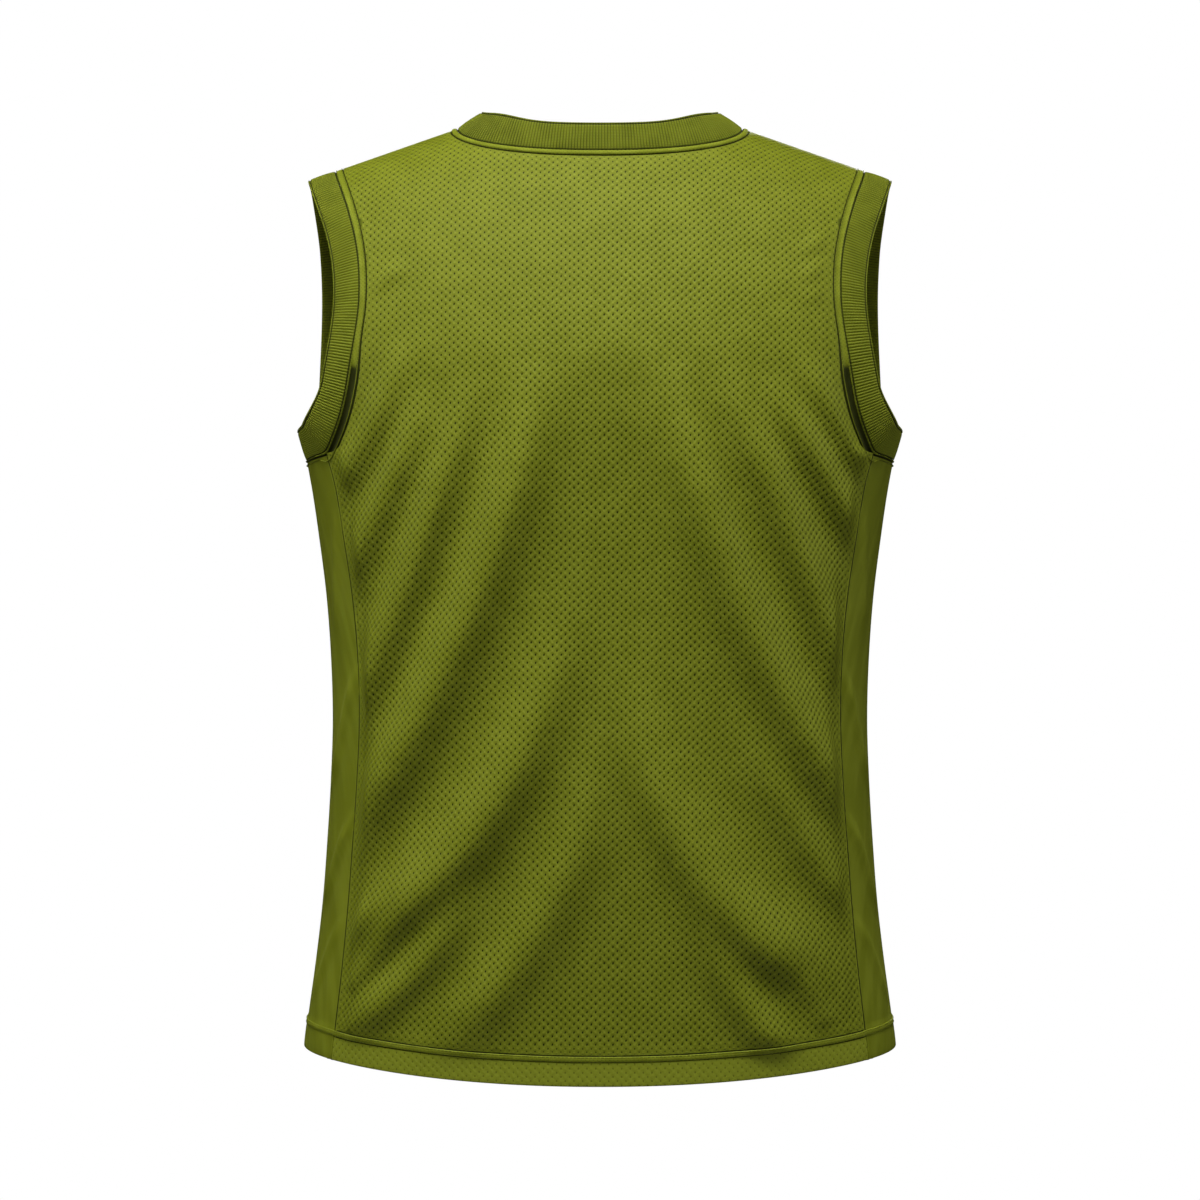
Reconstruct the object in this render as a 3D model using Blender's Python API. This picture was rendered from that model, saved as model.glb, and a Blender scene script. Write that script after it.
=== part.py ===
"""A sleeveless mesh jersey, filled out as if worn.

Back and front panels of eyelet mesh, two narrow smooth side panels, a ribbed
collar and two ribbed armhole bands. Metres, +Z up. The front faces -Y and the
back +Y; the wearer's left is +X. The origin lies midway between the two places
where the shoulder seams reach the neck.
"""

import math

import bmesh
import bpy
import numpy as np

# ---- cloth ------------------------------------------------------------------
WALL = 0.0014              # panel cloth
HEM_WALL = 0.0024          # the turned-up hem, two layers
BAND_WALL = 0.0020         # rib knit, folded double
BAND_SINK = 0.0004         # how far the band's outer face lies under its ribs
SEAM_GAP = 0.0004          # between a band and the panel edge it is sewn to
SIDE_GAP = 0.00013         # each side of a side seam, measured across the body
SHOULDER_GAP = 0.0018      # each side of the shoulder seam, radians of the arch

# ---- turned hem and the raised strips beside the seams -----------------------
HEM_HEIGHT = 0.023
STRIP = 0.006              # width of a raised strip
STRIP_EDGE = 0.0015        # width of the step beside it
HEM_RISE = 0.0004
STRIP_RISE = 0.0010

# ---- body of the garment ----------------------------------------------------
ROUNDNESS = 2.4            # exponent of the ring sections
HEM_Z = -0.7068            # hem at the sides
HEM_DROP = 0.0163          # the hem hangs lower at centre back and front
CORNER_Z = -0.252          # where a side seam meets the armhole
UNDERARM_SCOOP = 0.0043    # the armhole dips below that at the side
ARCH_START = -0.200        # above this the panels curve over to the shoulder
ARCH_REACH = 0.170         # metres of row position for one radian of that curve
NECK_HALF_WIDTH = 0.110
NECK_ROUNDNESS = 2.2
BACK_NECK_DROP = 0.024
FRONT_NECK_DROP = 0.098
SHOULDER_SLOPE = 0.347
SHOULDER_AT_NECK = 0.001

RING_COLUMNS = ("z", "half_width", "back_depth", "front_depth", "seam_share")
RINGS = (
    (-0.7400, 0.2285, 0.1142, 0.1190, 0.886),
    (-0.7045, 0.2280, 0.1142, 0.1188, 0.886),
    (-0.6810, 0.2250, 0.1142, 0.1182, 0.886),
    (-0.6425, 0.2197, 0.1140, 0.1170, 0.887),
    (-0.5960, 0.2143, 0.1138, 0.1155, 0.888),
    (-0.5500, 0.2108, 0.1138, 0.1142, 0.886),
    (-0.5030, 0.2080, 0.1138, 0.1135, 0.882),
    (-0.4560, 0.2065, 0.1138, 0.1135, 0.878),
    (-0.4100, 0.2077, 0.1140, 0.1142, 0.877),
    (-0.3635, 0.2110, 0.1145, 0.1160, 0.882),
    (-0.3170, 0.2165, 0.1153, 0.1190, 0.892),
    (-0.2700, 0.2232, 0.1164, 0.1230, 0.903),
    (-0.2520, 0.2265, 0.1170, 0.1243, 0.914),
)

# Above the side panels the sections are open at the armholes. Their half width
# is that of the ring which each panel would belong to.
CHEST_COLUMNS = ("z", "back_ring", "front_ring", "back_depth", "front_depth",
                 "back_edge", "front_edge")
CHEST = (
    (-0.2520, 0.2265, 0.2265, 0.1170, 0.1243, 0.2070, 0.2070),
    (-0.2290, 0.2290, 0.2370, 0.1177, 0.1256, 0.1970, 0.2045),
    (-0.1840, 0.2340, 0.2550, 0.1165, 0.1270, 0.1870, 0.2032),
    (-0.1370, 0.2387, 0.2660, 0.1118, 0.1270, 0.1805, 0.2020),
    (-0.1000, 0.2420, 0.2710, 0.1090, 0.1260, 0.1828, 0.2016),
    (-0.0630, 0.2460, 0.2740, 0.1072, 0.1250, 0.1925, 0.2025),
    (-0.0318, 0.2500, 0.2760, 0.1065, 0.1250, 0.2044, 0.2044),
    (0.0300, 0.2560, 0.2800, 0.1055, 0.1250, 0.2200, 0.2200),
)

# ---- folds: soft ridges along bent lines, in the plane of the back ----------
# Each line runs from an upper to a lower end through a point half-way. `outer` is
# the width of the flank that faces up and out, `inner` that of the other one, and
# `rise` the share of the line over which the ridge swells from nothing.
FOLD_COLUMNS = ("panel", "x_top", "z_top", "x_mid", "z_mid", "x_end", "z_end",
                "outer", "inner", "height", "rise")
FOLDS = (
    ("back", 0.140, -0.159, 0.164, -0.226, 0.202, -0.289, 0.013, 0.011, 0.0065, 0.50),
    ("back", 0.125, -0.193, 0.155, -0.282, 0.207, -0.378, 0.014, 0.012, 0.0090, 0.45),
    ("back", 0.091, -0.178, 0.134, -0.334, 0.204, -0.499, 0.018, 0.014, 0.0130, 0.40),
    ("back", 0.045, -0.170, 0.091, -0.367, 0.207, -0.581, 0.022, 0.019, 0.0160, 0.35),
    ("back", 0.022, -0.319, 0.072, -0.508, 0.197, -0.629, 0.026, 0.020, 0.0150, 0.50),
    ("back", 0.098, -0.564, 0.125, -0.627, 0.204, -0.699, 0.014, 0.014, 0.0085, 0.50),
    ("back", 0.007, -0.438, 0.033, -0.583, 0.126, -0.705, 0.020, 0.020, 0.0090, 0.50),
    ("back", -0.140, -0.167, -0.172, -0.224, -0.207, -0.273, 0.013, 0.011, 0.0065, 0.50),
    ("back", -0.120, -0.189, -0.159, -0.259, -0.207, -0.336, 0.014, 0.012, 0.0090, 0.45),
    ("back", -0.089, -0.178, -0.141, -0.319, -0.207, -0.486, 0.018, 0.014, 0.0120, 0.40),
    ("back", -0.051, -0.170, -0.100, -0.364, -0.208, -0.563, 0.022, 0.019, 0.0150, 0.35),
    ("back", -0.103, -0.423, -0.137, -0.520, -0.202, -0.612, 0.015, 0.014, 0.0070, 0.50),
    ("back", -0.015, -0.364, -0.065, -0.553, -0.178, -0.653, 0.026, 0.020, 0.0135, 0.50),
    ("back", -0.061, -0.542, -0.091, -0.642, -0.152, -0.713, 0.015, 0.015, 0.0080, 0.50),
    ("front", 0.146, -0.170, 0.168, -0.232, 0.203, -0.296, 0.013, 0.012, 0.0060, 0.50),
    ("front", 0.108, -0.190, 0.147, -0.300, 0.206, -0.420, 0.017, 0.014, 0.0100, 0.45),
    ("front", 0.060, -0.200, 0.104, -0.385, 0.205, -0.560, 0.022, 0.019, 0.0140, 0.40),
    ("front", 0.030, -0.350, 0.076, -0.530, 0.190, -0.648, 0.025, 0.020, 0.0130, 0.50),
    ("front", 0.010, -0.500, 0.044, -0.620, 0.130, -0.708, 0.019, 0.019, 0.0075, 0.50),
    ("front", -0.143, -0.175, -0.166, -0.240, -0.204, -0.310, 0.013, 0.012, 0.0065, 0.50),
    ("front", -0.104, -0.185, -0.140, -0.290, -0.206, -0.400, 0.017, 0.014, 0.0095, 0.45),
    ("front", -0.066, -0.195, -0.112, -0.370, -0.206, -0.530, 0.021, 0.018, 0.0135, 0.40),
    ("front", -0.022, -0.330, -0.070, -0.520, -0.186, -0.635, 0.026, 0.020, 0.0135, 0.50),
    ("front", -0.055, -0.560, -0.088, -0.640, -0.158, -0.710, 0.016, 0.015, 0.0075, 0.50),
)
FOLD_SAMPLES = 18
FOLD_FADE_FROM = 0.78      # share of the line past which a ridge sinks again
FOLD_LEFT_AT_END = 0.15    # share of its height that is left at the lower end
FOLD_EDGE_FADE = 0.016     # folds die out this far from a panel's side edge
FOLD_HEM_FADE = 0.034

# ---- knit bands -------------------------------------------------------------
COLLAR_HEIGHT = 0.0232
COLLAR_LEAN = math.radians(16)
ARMBAND_WIDTH = 0.0225
RIB_PITCH = 0.00205
RIB_RISE = 0.00035

# How far an armhole band flares out from the panel's own slope, in degrees.
FLARE_COLUMNS = ("z", "back", "front")
FLARE = (
    (-0.2560, 8.0, 8.0),
    (-0.2300, 14.0, 22.0),
    (-0.2000, 9.0, 20.0),
    (-0.1600, 2.0, 8.0),
    (-0.1200, 0.0, 0.0),
)

# ---- grid of the panels -----------------------------------------------------
NECK_COLUMNS = 8           # each side of the centre
SHOULDER_COLUMNS = 3
BESIDE_NECK = SHOULDER_COLUMNS + 2   # with the armhole's raised strip
NECK_SHARE = 0.72          # of the panel's width lies below the neck
COLUMN_TURN = 1.5          # the columns turn in to the neck mostly near the top
HEM_ROWS = slice(0, 3)
HEM_STRIP_ROWS = slice(1, 3)
BODY_ROWS = 20
UNDERARM_ROWS = 3
ARCH_ROWS = 8
ARCH_EASE = 1.12           # exponent: the rows of the arch start closer together
ARCH_TOP_ROWS = (math.radians(85.5), math.radians(86.4))
SIDE_COLUMNS = 5
SCOOP_START = 0.75         # the scoop begins this far up a side panel
NECK_SAMPLES = 200
EDGE_STEPS = 12            # rounds of the search for the armhole's edge
PANEL_STEP = 0.0002        # for slopes, in metres of x and of row position
SIDE_STEP = 0.004          # for slopes, in radians round a side and in metres up

COLOURS = {
    "mesh": (0.165, 0.190, 0.022, 1.0),
    "side": (0.130, 0.150, 0.016, 1.0),
    "rib": (0.150, 0.175, 0.020, 1.0),
}
ROUGHNESS = {"mesh": 0.75, "side": 0.65, "rib": 0.85}


# ---- tables and curves ------------------------------------------------------
def smooth_column(rows, columns, name, at):
    """Value of a named column at heights `at`, on a smooth curve through the rows."""
    table = np.array(rows)
    heights = table[:, 0]
    values = table[:, columns.index(name)]
    slopes = np.gradient(values, heights)
    at = np.clip(at, heights[0], heights[-1])
    low = np.clip(np.searchsorted(heights, at) - 1, 0, len(heights) - 2)
    span = heights[low + 1] - heights[low]
    t = (at - heights[low]) / span
    start = (2 * t**3 - 3 * t**2 + 1) * values[low]
    end = (3 * t**2 - 2 * t**3) * values[low + 1]
    lift = (t**3 - 2 * t**2 + t) * span * slopes[low]
    fall = (t**3 - t**2) * span * slopes[low + 1]
    return start + end + lift + fall


def smoothstep(low, high, value):
    t = np.clip((value - low) / (high - low), 0.0, 1.0)
    return t * t * (3 - 2 * t)


def side_word(side):
    return "back" if side > 0 else "front"


def half_width(z, side):
    ring = smooth_column(RINGS, RING_COLUMNS, "half_width", z)
    chest = smooth_column(CHEST, CHEST_COLUMNS, side_word(side) + "_ring", z)
    return np.where(z < CORNER_Z, ring, chest)


def half_depth(z, side):
    column = side_word(side) + "_depth"
    ring = smooth_column(RINGS, RING_COLUMNS, column, z)
    chest = smooth_column(CHEST, CHEST_COLUMNS, column, z)
    return np.where(z < CORNER_Z, ring, chest)


def edge_of_panel(z, side):
    """Half width of a panel at height z: to its side seam or its armhole."""
    share = smooth_column(RINGS, RING_COLUMNS, "seam_share", z)
    ring = smooth_column(RINGS, RING_COLUMNS, "half_width", z)
    armhole = smooth_column(CHEST, CHEST_COLUMNS, side_word(side) + "_edge", z)
    return np.where(z < CORNER_Z, share * ring, armhole)


def hem_height(share):
    """Height of the hem where x is this share of the ring's half width."""
    return HEM_Z - HEM_DROP * (1 - np.asarray(share) ** 2)


def shoulder_height(x):
    reach = np.abs(x)
    curve = SHOULDER_SLOPE / (2 * NECK_HALF_WIDTH)
    peak = SHOULDER_AT_NECK + curve * NECK_HALF_WIDTH**2
    inner = peak - curve * reach**2
    outer = SHOULDER_AT_NECK - SHOULDER_SLOPE * (reach - NECK_HALF_WIDTH)
    return np.where(reach < NECK_HALF_WIDTH, inner, outer)


# ---- the two large panels as one surface each -------------------------------
def panel_point(x, row, side):
    """Point of the back (side 1) or front (side -1).

    `row` is the height above ARCH_START, and above zero the distance along the
    curve that carries the panel over to the shoulder.
    """
    angle = np.maximum(row, 0.0) / ARCH_REACH
    reach = shoulder_height(x) - ARCH_START
    z = ARCH_START + np.where(row > 0, reach * np.sin(angle), row)
    share = np.clip(np.abs(x) / half_width(z, side), 0.0, 1.0)
    depth = half_depth(z, side) * (1 - share**ROUNDNESS) ** (1 / ROUNDNESS)
    return np.stack([x, side * depth * np.cos(angle), z], axis=-1)


def unit(vectors):
    return vectors / np.linalg.norm(vectors, axis=-1, keepdims=True)


def panel_normal(x, row, side):
    step = PANEL_STEP
    across = panel_point(x + step, row, side) - panel_point(x - step, row, side)
    upward = panel_point(x, row + step, side) - panel_point(x, row - step, side)
    return unit(side * np.cross(upward, across))


def fold_line(row):
    """Points of a ridge's line and the share of its height at each."""
    t = np.linspace(0.0, 1.0, FOLD_SAMPLES)
    line = []
    for axis in ("x", "z"):
        top, middle, end = (row[axis + place] for place in ("_top", "_mid", "_end"))
        bend = 2 * middle - (top + end) / 2
        line.append((1 - t) ** 2 * top + 2 * t * (1 - t) * bend + t**2 * end)
    sink = (1 - FOLD_LEFT_AT_END) * smoothstep(FOLD_FADE_FROM, 1.0, t)
    return line[0], line[1], smoothstep(0.0, row["rise"], t) * (1 - sink)


def fold_ridge(x, z, row):
    """Height of one ridge: its swell along the line, times its section across it."""
    line_x, line_z, swell = fold_line(row)
    outward = math.copysign(1.0, row["x_end"])
    nearest = np.full(np.shape(x), np.inf)
    ridge = np.zeros(np.shape(x))
    for i in range(FOLD_SAMPLES - 1):
        run_x, run_z = line_x[i + 1] - line_x[i], line_z[i + 1] - line_z[i]
        share = ((x - line_x[i]) * run_x + (z - line_z[i]) * run_z) / (run_x**2 + run_z**2)
        share = np.clip(share, 0.0, 1.0)
        away_x, away_z = x - line_x[i] - share * run_x, z - line_z[i] - share * run_z
        gap = away_x**2 + away_z**2
        above = outward * (run_x * away_z - run_z * away_x) > 0
        width = np.where(above, row["outer"], row["inner"])
        here = (swell[i] + share * (swell[i + 1] - swell[i])) * np.exp(-gap / width**2)
        ridge = np.where(gap < nearest, here, ridge)
        nearest = np.minimum(gap, nearest)
    return row["height"] * ridge


def fold_height(x, z, panel):
    """Height of the soft ridges at a place on a panel."""
    rows = [dict(zip(FOLD_COLUMNS, fold)) for fold in FOLDS]
    return sum(fold_ridge(x, z, row) for row in rows if row["panel"] == panel)


# ---- rows and columns -------------------------------------------------------
def body_rows():
    """Heights above the side hem of the rows below the armholes."""
    hem = [0.0, HEM_HEIGHT - STRIP, HEM_HEIGHT, HEM_HEIGHT + STRIP_EDGE]
    top = CORNER_Z - HEM_Z
    return np.array(hem + list(np.linspace(hem[-1], top, BODY_ROWS + 1)[1:]))


def arch_rows():
    """Row positions above the side seams, up to the shoulder and neck seams."""
    underarm = np.linspace(CORNER_Z - ARCH_START, 0.0, UNDERARM_ROWS + 1)[1:]
    rise = np.linspace(0.0, 1.0, ARCH_ROWS + 1)[1:]
    angles = ARCH_TOP_ROWS[0] * rise**ARCH_EASE
    angles = list(angles) + [ARCH_TOP_ROWS[1], math.pi / 2]
    return np.concatenate([underarm, ARCH_REACH * np.array(angles)])


def armhole_edge(rows, side):
    """Half width of the panel's edge at each arch row."""
    x = np.full(len(rows), edge_of_panel(ARCH_START, side))
    for _ in range(EDGE_STEPS):
        reach = shoulder_height(x) - ARCH_START
        angle = np.clip(rows, 0, None) / ARCH_REACH
        z = ARCH_START + np.where(rows > 0, reach * np.sin(angle), rows)
        x = edge_of_panel(z, side)
    return x


def neck_seam(turn, side):
    """x and height of the neck seam, turn 0 at the centre and pi/2 at the side."""
    drop = BACK_NECK_DROP if side > 0 else FRONT_NECK_DROP
    power = 2 / NECK_ROUNDNESS
    x = NECK_HALF_WIDTH * np.sin(turn) ** power
    return x, -drop * np.cos(turn) ** power


def neck_angles(turn, side):
    """x and arch angle of the neck seam."""
    x, z = neck_seam(turn, side)
    reach = shoulder_height(x) - ARCH_START
    angle = np.arcsin(np.clip((z - ARCH_START) / reach, 0, 1))
    return x, np.where(turn >= math.pi / 2, math.pi / 2, angle)


def even_turns(side):
    """Turns that part half of the neck seam into equal lengths."""
    turn = np.linspace(0.0, math.pi / 2, NECK_SAMPLES)
    x, angle = neck_angles(turn, side)
    points = panel_point(x, angle * ARCH_REACH, side)
    steps = np.linalg.norm(np.diff(points, axis=0), axis=1)
    length = np.concatenate([[0.0], np.cumsum(steps)])
    return np.interp(np.linspace(0.0, length[-1], NECK_COLUMNS + 1), length, turn)


def top_of_columns(side, last_inner):
    """x and arch angle where each column of one half ends, from the centre out."""
    x, angle = neck_angles(even_turns(side), side)
    along = np.linspace(0.0, 1.0, SHOULDER_COLUMNS + 1)[1:]
    shoulder = NECK_HALF_WIDTH + along * (last_inner - NECK_HALF_WIDTH)
    x = np.concatenate([x, shoulder])
    angle = np.concatenate([angle, np.full(SHOULDER_COLUMNS, math.pi / 2)])
    return x, angle


def column_shares():
    below_neck = np.linspace(0.0, NECK_SHARE, NECK_COLUMNS + 1)
    beside = np.linspace(NECK_SHARE, 1.0, SHOULDER_COLUMNS + 1)[1:]
    return np.concatenate([below_neck, beside])


def rows_below(side):
    """x and row position of one half, from the hem to the side seam's top."""
    low = body_rows()
    level = HEM_Z + low
    edge = edge_of_panel(level, side)
    inner = edge - STRIP - STRIP_EDGE
    strip = edge[:, None] - [STRIP, 0.0]
    x = np.hstack([inner[:, None] * column_shares(), strip])
    hem = hem_height(x / half_width(level, side)[:, None])
    grow = (CORNER_Z - hem) / (CORNER_Z - HEM_Z)
    return x, hem + low[:, None] * grow - ARCH_START


def rows_above(side):
    """x and row position of one half, on from there to the shoulder and the neck."""
    high = arch_rows()
    edge = armhole_edge(high, side)
    inner = edge - STRIP - STRIP_EDGE
    strip = edge[:, None] - [STRIP, 0.0]
    top_x, top_angle = top_of_columns(side, inner[-1])
    turn_in = (np.clip(high / high[-1], 0, 1) ** COLUMN_TURN)[:, None]
    plain = inner[:, None] * column_shares()
    x = np.hstack([(1 - turn_in) * plain + turn_in * top_x, strip])
    scale = np.concatenate([top_angle, [math.pi / 2] * 2]) / (math.pi / 2)
    row = np.where(high[:, None] > 0, high[:, None] * scale, high[:, None])
    return x, row


def panel_grid(side):
    """x and row position of a whole panel, columns from the wearer's right to left.

    The last two columns each side are the raised strip beside an armhole.
    """
    below, above = rows_below(side), rows_above(side)
    x = np.vstack([below[0], above[0]])
    row = np.vstack([below[1], above[1]])
    x = np.hstack([-x[:, :0:-1], x])
    row = np.hstack([row[:, :0:-1], row])
    return x, row


def raised(rows, columns):
    """How far the strips and the hem stand out, and the wall's thickness."""
    rise = np.zeros((rows, columns))
    thick = np.full((rows, columns), WALL)
    rise[HEM_ROWS] = HEM_RISE
    thick[HEM_ROWS] = HEM_WALL
    rise[HEM_STRIP_ROWS] = STRIP_RISE
    armhole = len(body_rows()) - 1
    for column in (0, 1, -1, -2):
        rise[armhole:, column] = STRIP_RISE
    rise[-2:, BESIDE_NECK:-BESIDE_NECK] = STRIP_RISE
    return rise, thick


def panel_walls(side):
    """Outer and inner points of a large panel."""
    x, row = panel_grid(side)
    columns = x.shape[1]
    seam_rows = len(body_rows())
    x[:seam_rows, 0] += SIDE_GAP
    x[:seam_rows, -1] -= SIDE_GAP
    shoulder = np.ones(columns, bool)
    shoulder[BESIDE_NECK + 1 : -(BESIDE_NECK + 1)] = False
    row[-1, shoulder] -= SHOULDER_GAP * ARCH_REACH
    base = panel_point(x, row, side)
    normal = panel_normal(x, row, side)
    z = base[..., 2]
    edge = np.abs(x[:, -1:])
    fade = smoothstep(0.0, FOLD_EDGE_FADE, edge - np.abs(x))
    fade = fade * smoothstep(0.0, FOLD_HEM_FADE, z - z[0])
    fold = fade * fold_height(x, z, side_word(side))
    rise, thick = raised(*x.shape)
    outer = base + normal * (fold + rise)[..., None]
    inner = base + normal * (fold - thick)[..., None]
    return outer, inner


def side_ring(angle, level, sign):
    """Points round a side: angle 0 at the side itself, more towards the back."""
    power = 2 / ROUNDNESS
    share = np.cos(angle) ** power
    hem = hem_height(share)
    z = hem + (level - HEM_Z) * (CORNER_Z - hem) / (CORNER_Z - HEM_Z)
    depth = np.where(angle > 0, half_depth(z, 1), half_depth(z, -1))
    y = depth * np.sign(angle) * np.abs(np.sin(angle)) ** power
    return np.stack([sign * half_width(level, 1) * share, y, z], axis=-1)


def side_walls(sign):
    """Outer and inner points of a side panel, columns from front to back."""
    low = body_rows()
    level = HEM_Z + low
    share = (edge_of_panel(level, 1) + SIDE_GAP) / half_width(level, 1)
    turn = np.arccos(share ** (ROUNDNESS / 2))
    at = np.linspace(-1.0, 1.0, SIDE_COLUMNS + 1)
    angle = turn[:, None] * at
    heights = np.repeat(level[:, None], SIDE_COLUMNS + 1, axis=1)
    base = side_ring(angle, heights, sign)
    step = SIDE_STEP
    around = side_ring(angle + step, heights, sign) - side_ring(angle - step, heights, sign)
    upward = side_ring(angle, heights + step, sign) - side_ring(angle, heights - step, sign)
    normal = unit(sign * np.cross(around, upward))
    scoop = smoothstep(SCOOP_START, 1.0, low / low[-1])[:, None] * (1 - at**2)
    base[..., 2] -= UNDERARM_SCOOP * scoop
    rise = np.zeros(base.shape[:2])
    thick = np.full(base.shape[:2], WALL)
    rise[HEM_ROWS] = HEM_RISE
    rise[HEM_STRIP_ROWS] = STRIP_RISE
    thick[HEM_ROWS] = HEM_WALL
    outer = base + normal * rise[..., None]
    inner = base - normal * thick[..., None]
    return outer, inner


# ---- meshes -----------------------------------------------------------------
def grid_into(bm, points, flip):
    """Add a grid of quads through points[row][column]; returns its rim edges."""
    rows, columns = points.shape[:2]
    made = bmesh.ops.create_grid(bm, x_segments=columns - 1, y_segments=rows - 1, size=1.0)
    verts = made["verts"]
    for vert in verts:
        column = round((vert.co.x + 1) / 2 * (columns - 1))
        row = round((vert.co.y + 1) / 2 * (rows - 1))
        vert.co = points[row][column]
    faces = {face for vert in verts for face in vert.link_faces}
    if flip:
        bmesh.ops.reverse_faces(bm, faces=list(faces))
    return [edge for edge in {e for f in faces for e in f.edges} if edge.is_boundary]


def wall_mesh(name, outer, inner, flip):
    """A closed wall between two grids of points."""
    bm = bmesh.new()
    rim = grid_into(bm, outer, flip)
    rim += grid_into(bm, inner, not flip)
    bmesh.ops.bridge_loops(bm, edges=rim)
    bmesh.ops.recalc_face_normals(bm, faces=bm.faces)
    mesh = bpy.data.meshes.new(name)
    bm.to_mesh(mesh)
    bm.free()
    return mesh


def loop_length(points):
    return np.linalg.norm(np.roll(points, -1, axis=0) - points, axis=1)


def along_loop(points, count):
    """Places along a closed polyline: for each, the knot before it and the share on."""
    lengths = loop_length(points)
    ends = np.cumsum(lengths)
    at = np.arange(count) * ends[-1] / count
    knot = np.searchsorted(ends, at, side="right")
    knot = np.clip(knot, 0, len(points) - 1)
    start = ends[knot] - lengths[knot]
    return knot, (at - start) / lengths[knot]


def between_knots(points, knot, share):
    after = (knot + 1) % len(points)
    return points[knot] * (1 - share)[:, None] + points[after] * share[:, None]


def stitch_rims(bm, fine, fine_at, coarse):
    """Triangles between a fine ring and a coarse one, each coarse point a knot."""
    fine_count, coarse_count = len(fine), len(coarse)
    i, j = 0, 0
    while i < fine_count or j < coarse_count:
        a, b = fine[i % fine_count], coarse[j % coarse_count]
        next_fine = fine_at[i + 1] if i + 1 < fine_count else coarse_count
        if i < fine_count and (j >= coarse_count or next_fine <= j + 1):
            bm.faces.new((a, fine[(i + 1) % fine_count], b))
            i += 1
        else:
            bm.faces.new((a, coarse[(j + 1) % coarse_count], b))
            j += 1


def ring_faces(bm, first, second):
    count = len(first)
    for i in range(count):
        after = (i + 1) % count
        bm.faces.new((first[i], first[after], second[after], second[i]))


def band_mesh(name, seam, free, normal):
    """A ribbed band: ribs in the outer points, a plain inner wall at the knots."""
    rib_count = round(loop_length(seam).sum() / RIB_PITCH)
    knot, share = along_loop(seam, 2 * rib_count)
    facing = unit(between_knots(normal, knot, share))
    rib = np.where(np.arange(2 * rib_count) % 2 == 0, RIB_RISE, 0.0) - BAND_SINK / 2
    lift = facing * rib[:, None]
    bm = bmesh.new()
    outer_seam = [bm.verts.new(p) for p in between_knots(seam, knot, share) + lift]
    outer_free = [bm.verts.new(p) for p in between_knots(free, knot, share) + lift]
    inner_seam = [bm.verts.new(p) for p in seam - normal * BAND_WALL]
    inner_free = [bm.verts.new(p) for p in free - normal * BAND_WALL]
    fine_at = knot + share
    ring_faces(bm, outer_seam, outer_free)
    ring_faces(bm, inner_free, inner_seam)
    stitch_rims(bm, outer_seam, fine_at, inner_seam)
    stitch_rims(bm, outer_free, fine_at, inner_free)
    bmesh.ops.recalc_face_normals(bm, faces=bm.faces)
    mesh = bpy.data.meshes.new(name)
    bm.to_mesh(mesh)
    bm.free()
    return mesh


def band_rings(knots, normals, width, lean):
    """Seam ring, free ring and facing of a band sewn along a closed loop."""
    tangent = unit(np.roll(knots, -1, axis=0) - np.roll(knots, 1, axis=0))
    outward = unit(np.cross(normals, tangent))
    middle = knots.mean(axis=0)
    if np.sum((middle - knots) * outward) < 0:
        outward = -outward
    lean = np.asarray(lean)[..., None] * np.ones((len(knots), 1))
    along = np.cos(lean) * outward + np.sin(lean) * normals
    facing = np.cos(lean) * normals - np.sin(lean) * outward
    return knots + along * SEAM_GAP, knots + along * (SEAM_GAP + width), facing


def panel_edge(side, column, first_row):
    """Points and normals of a panel's own edge, without gaps or folds."""
    x, row = panel_grid(side)
    x, row = x[first_row:, column], row[first_row:, column]
    return panel_point(x, row, side), panel_normal(x, row, side)


def neck_loop():
    """Knots and normals of the neck seam, from the wearer's right, by the back."""
    inner = slice(BESIDE_NECK, -BESIDE_NECK)
    knots, normals = [], []
    for side in (1, -1):
        x, row = panel_grid(side)
        points = panel_point(x[-1, inner], row[-1, inner], side)
        facing = panel_normal(x[-1, inner], row[-1, inner], side)
        order = slice(None, -1) if side > 0 else slice(None, 0, -1)
        knots.append(points[order])
        normals.append(facing[order])
    return np.concatenate(knots), np.concatenate(normals)


def armband_flare(knots):
    """Flare at each knot of an armhole, in radians."""
    heights = [row[0] for row in FLARE]
    back, front = ([row[i] for row in FLARE] for i in (1, 2))
    z = knots[:, 2]
    towards_back = knots[:, 1] > 0
    degrees = np.where(towards_back, np.interp(z, heights, back), np.interp(z, heights, front))
    return np.radians(degrees)


def armhole_loop(sign):
    """Knots and normals of an armhole: up the back, down the front, underneath."""
    column = -1 if sign > 0 else 0
    first = len(body_rows()) - 1
    back, back_normal = panel_edge(1, column, first)
    front, front_normal = panel_edge(-1, column, first)
    outer, inner = side_walls(sign)
    under = outer[-1, 1:-1]
    under_normal = unit(outer[-1, 1:-1] - inner[-1, 1:-1])
    knots = np.concatenate([back, front[-2::-1], under])
    normals = np.concatenate([back_normal, front_normal[-2::-1], under_normal])
    return knots, normals


# ---- objects ----------------------------------------------------------------
def cloth_material(kind):
    material = bpy.data.materials.new("jersey_" + kind)
    material.use_nodes = True
    shader = material.node_tree.nodes["Principled BSDF"]
    shader.inputs["Base Color"].default_value = COLOURS[kind]
    shader.inputs["Roughness"].default_value = ROUGHNESS[kind]
    shader.inputs["Metallic"].default_value = 0.0
    return material


def add_node(collection, name, mesh, kind):
    mesh.materials.append(cloth_material(kind))
    mesh.shade_smooth()
    collection.objects.link(bpy.data.objects.new(name, mesh))


def build_panels(collection):
    for side in (1, -1):
        name = side_word(side) + "_panel"
        outer, inner = panel_walls(side)
        add_node(collection, name, wall_mesh(name, outer, inner, side > 0), "mesh")
    for sign, word in ((1, "left"), (-1, "right")):
        name = "side_panel_" + word
        outer, inner = side_walls(sign)
        add_node(collection, name, wall_mesh(name, outer, inner, sign < 0), "side")


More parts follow.
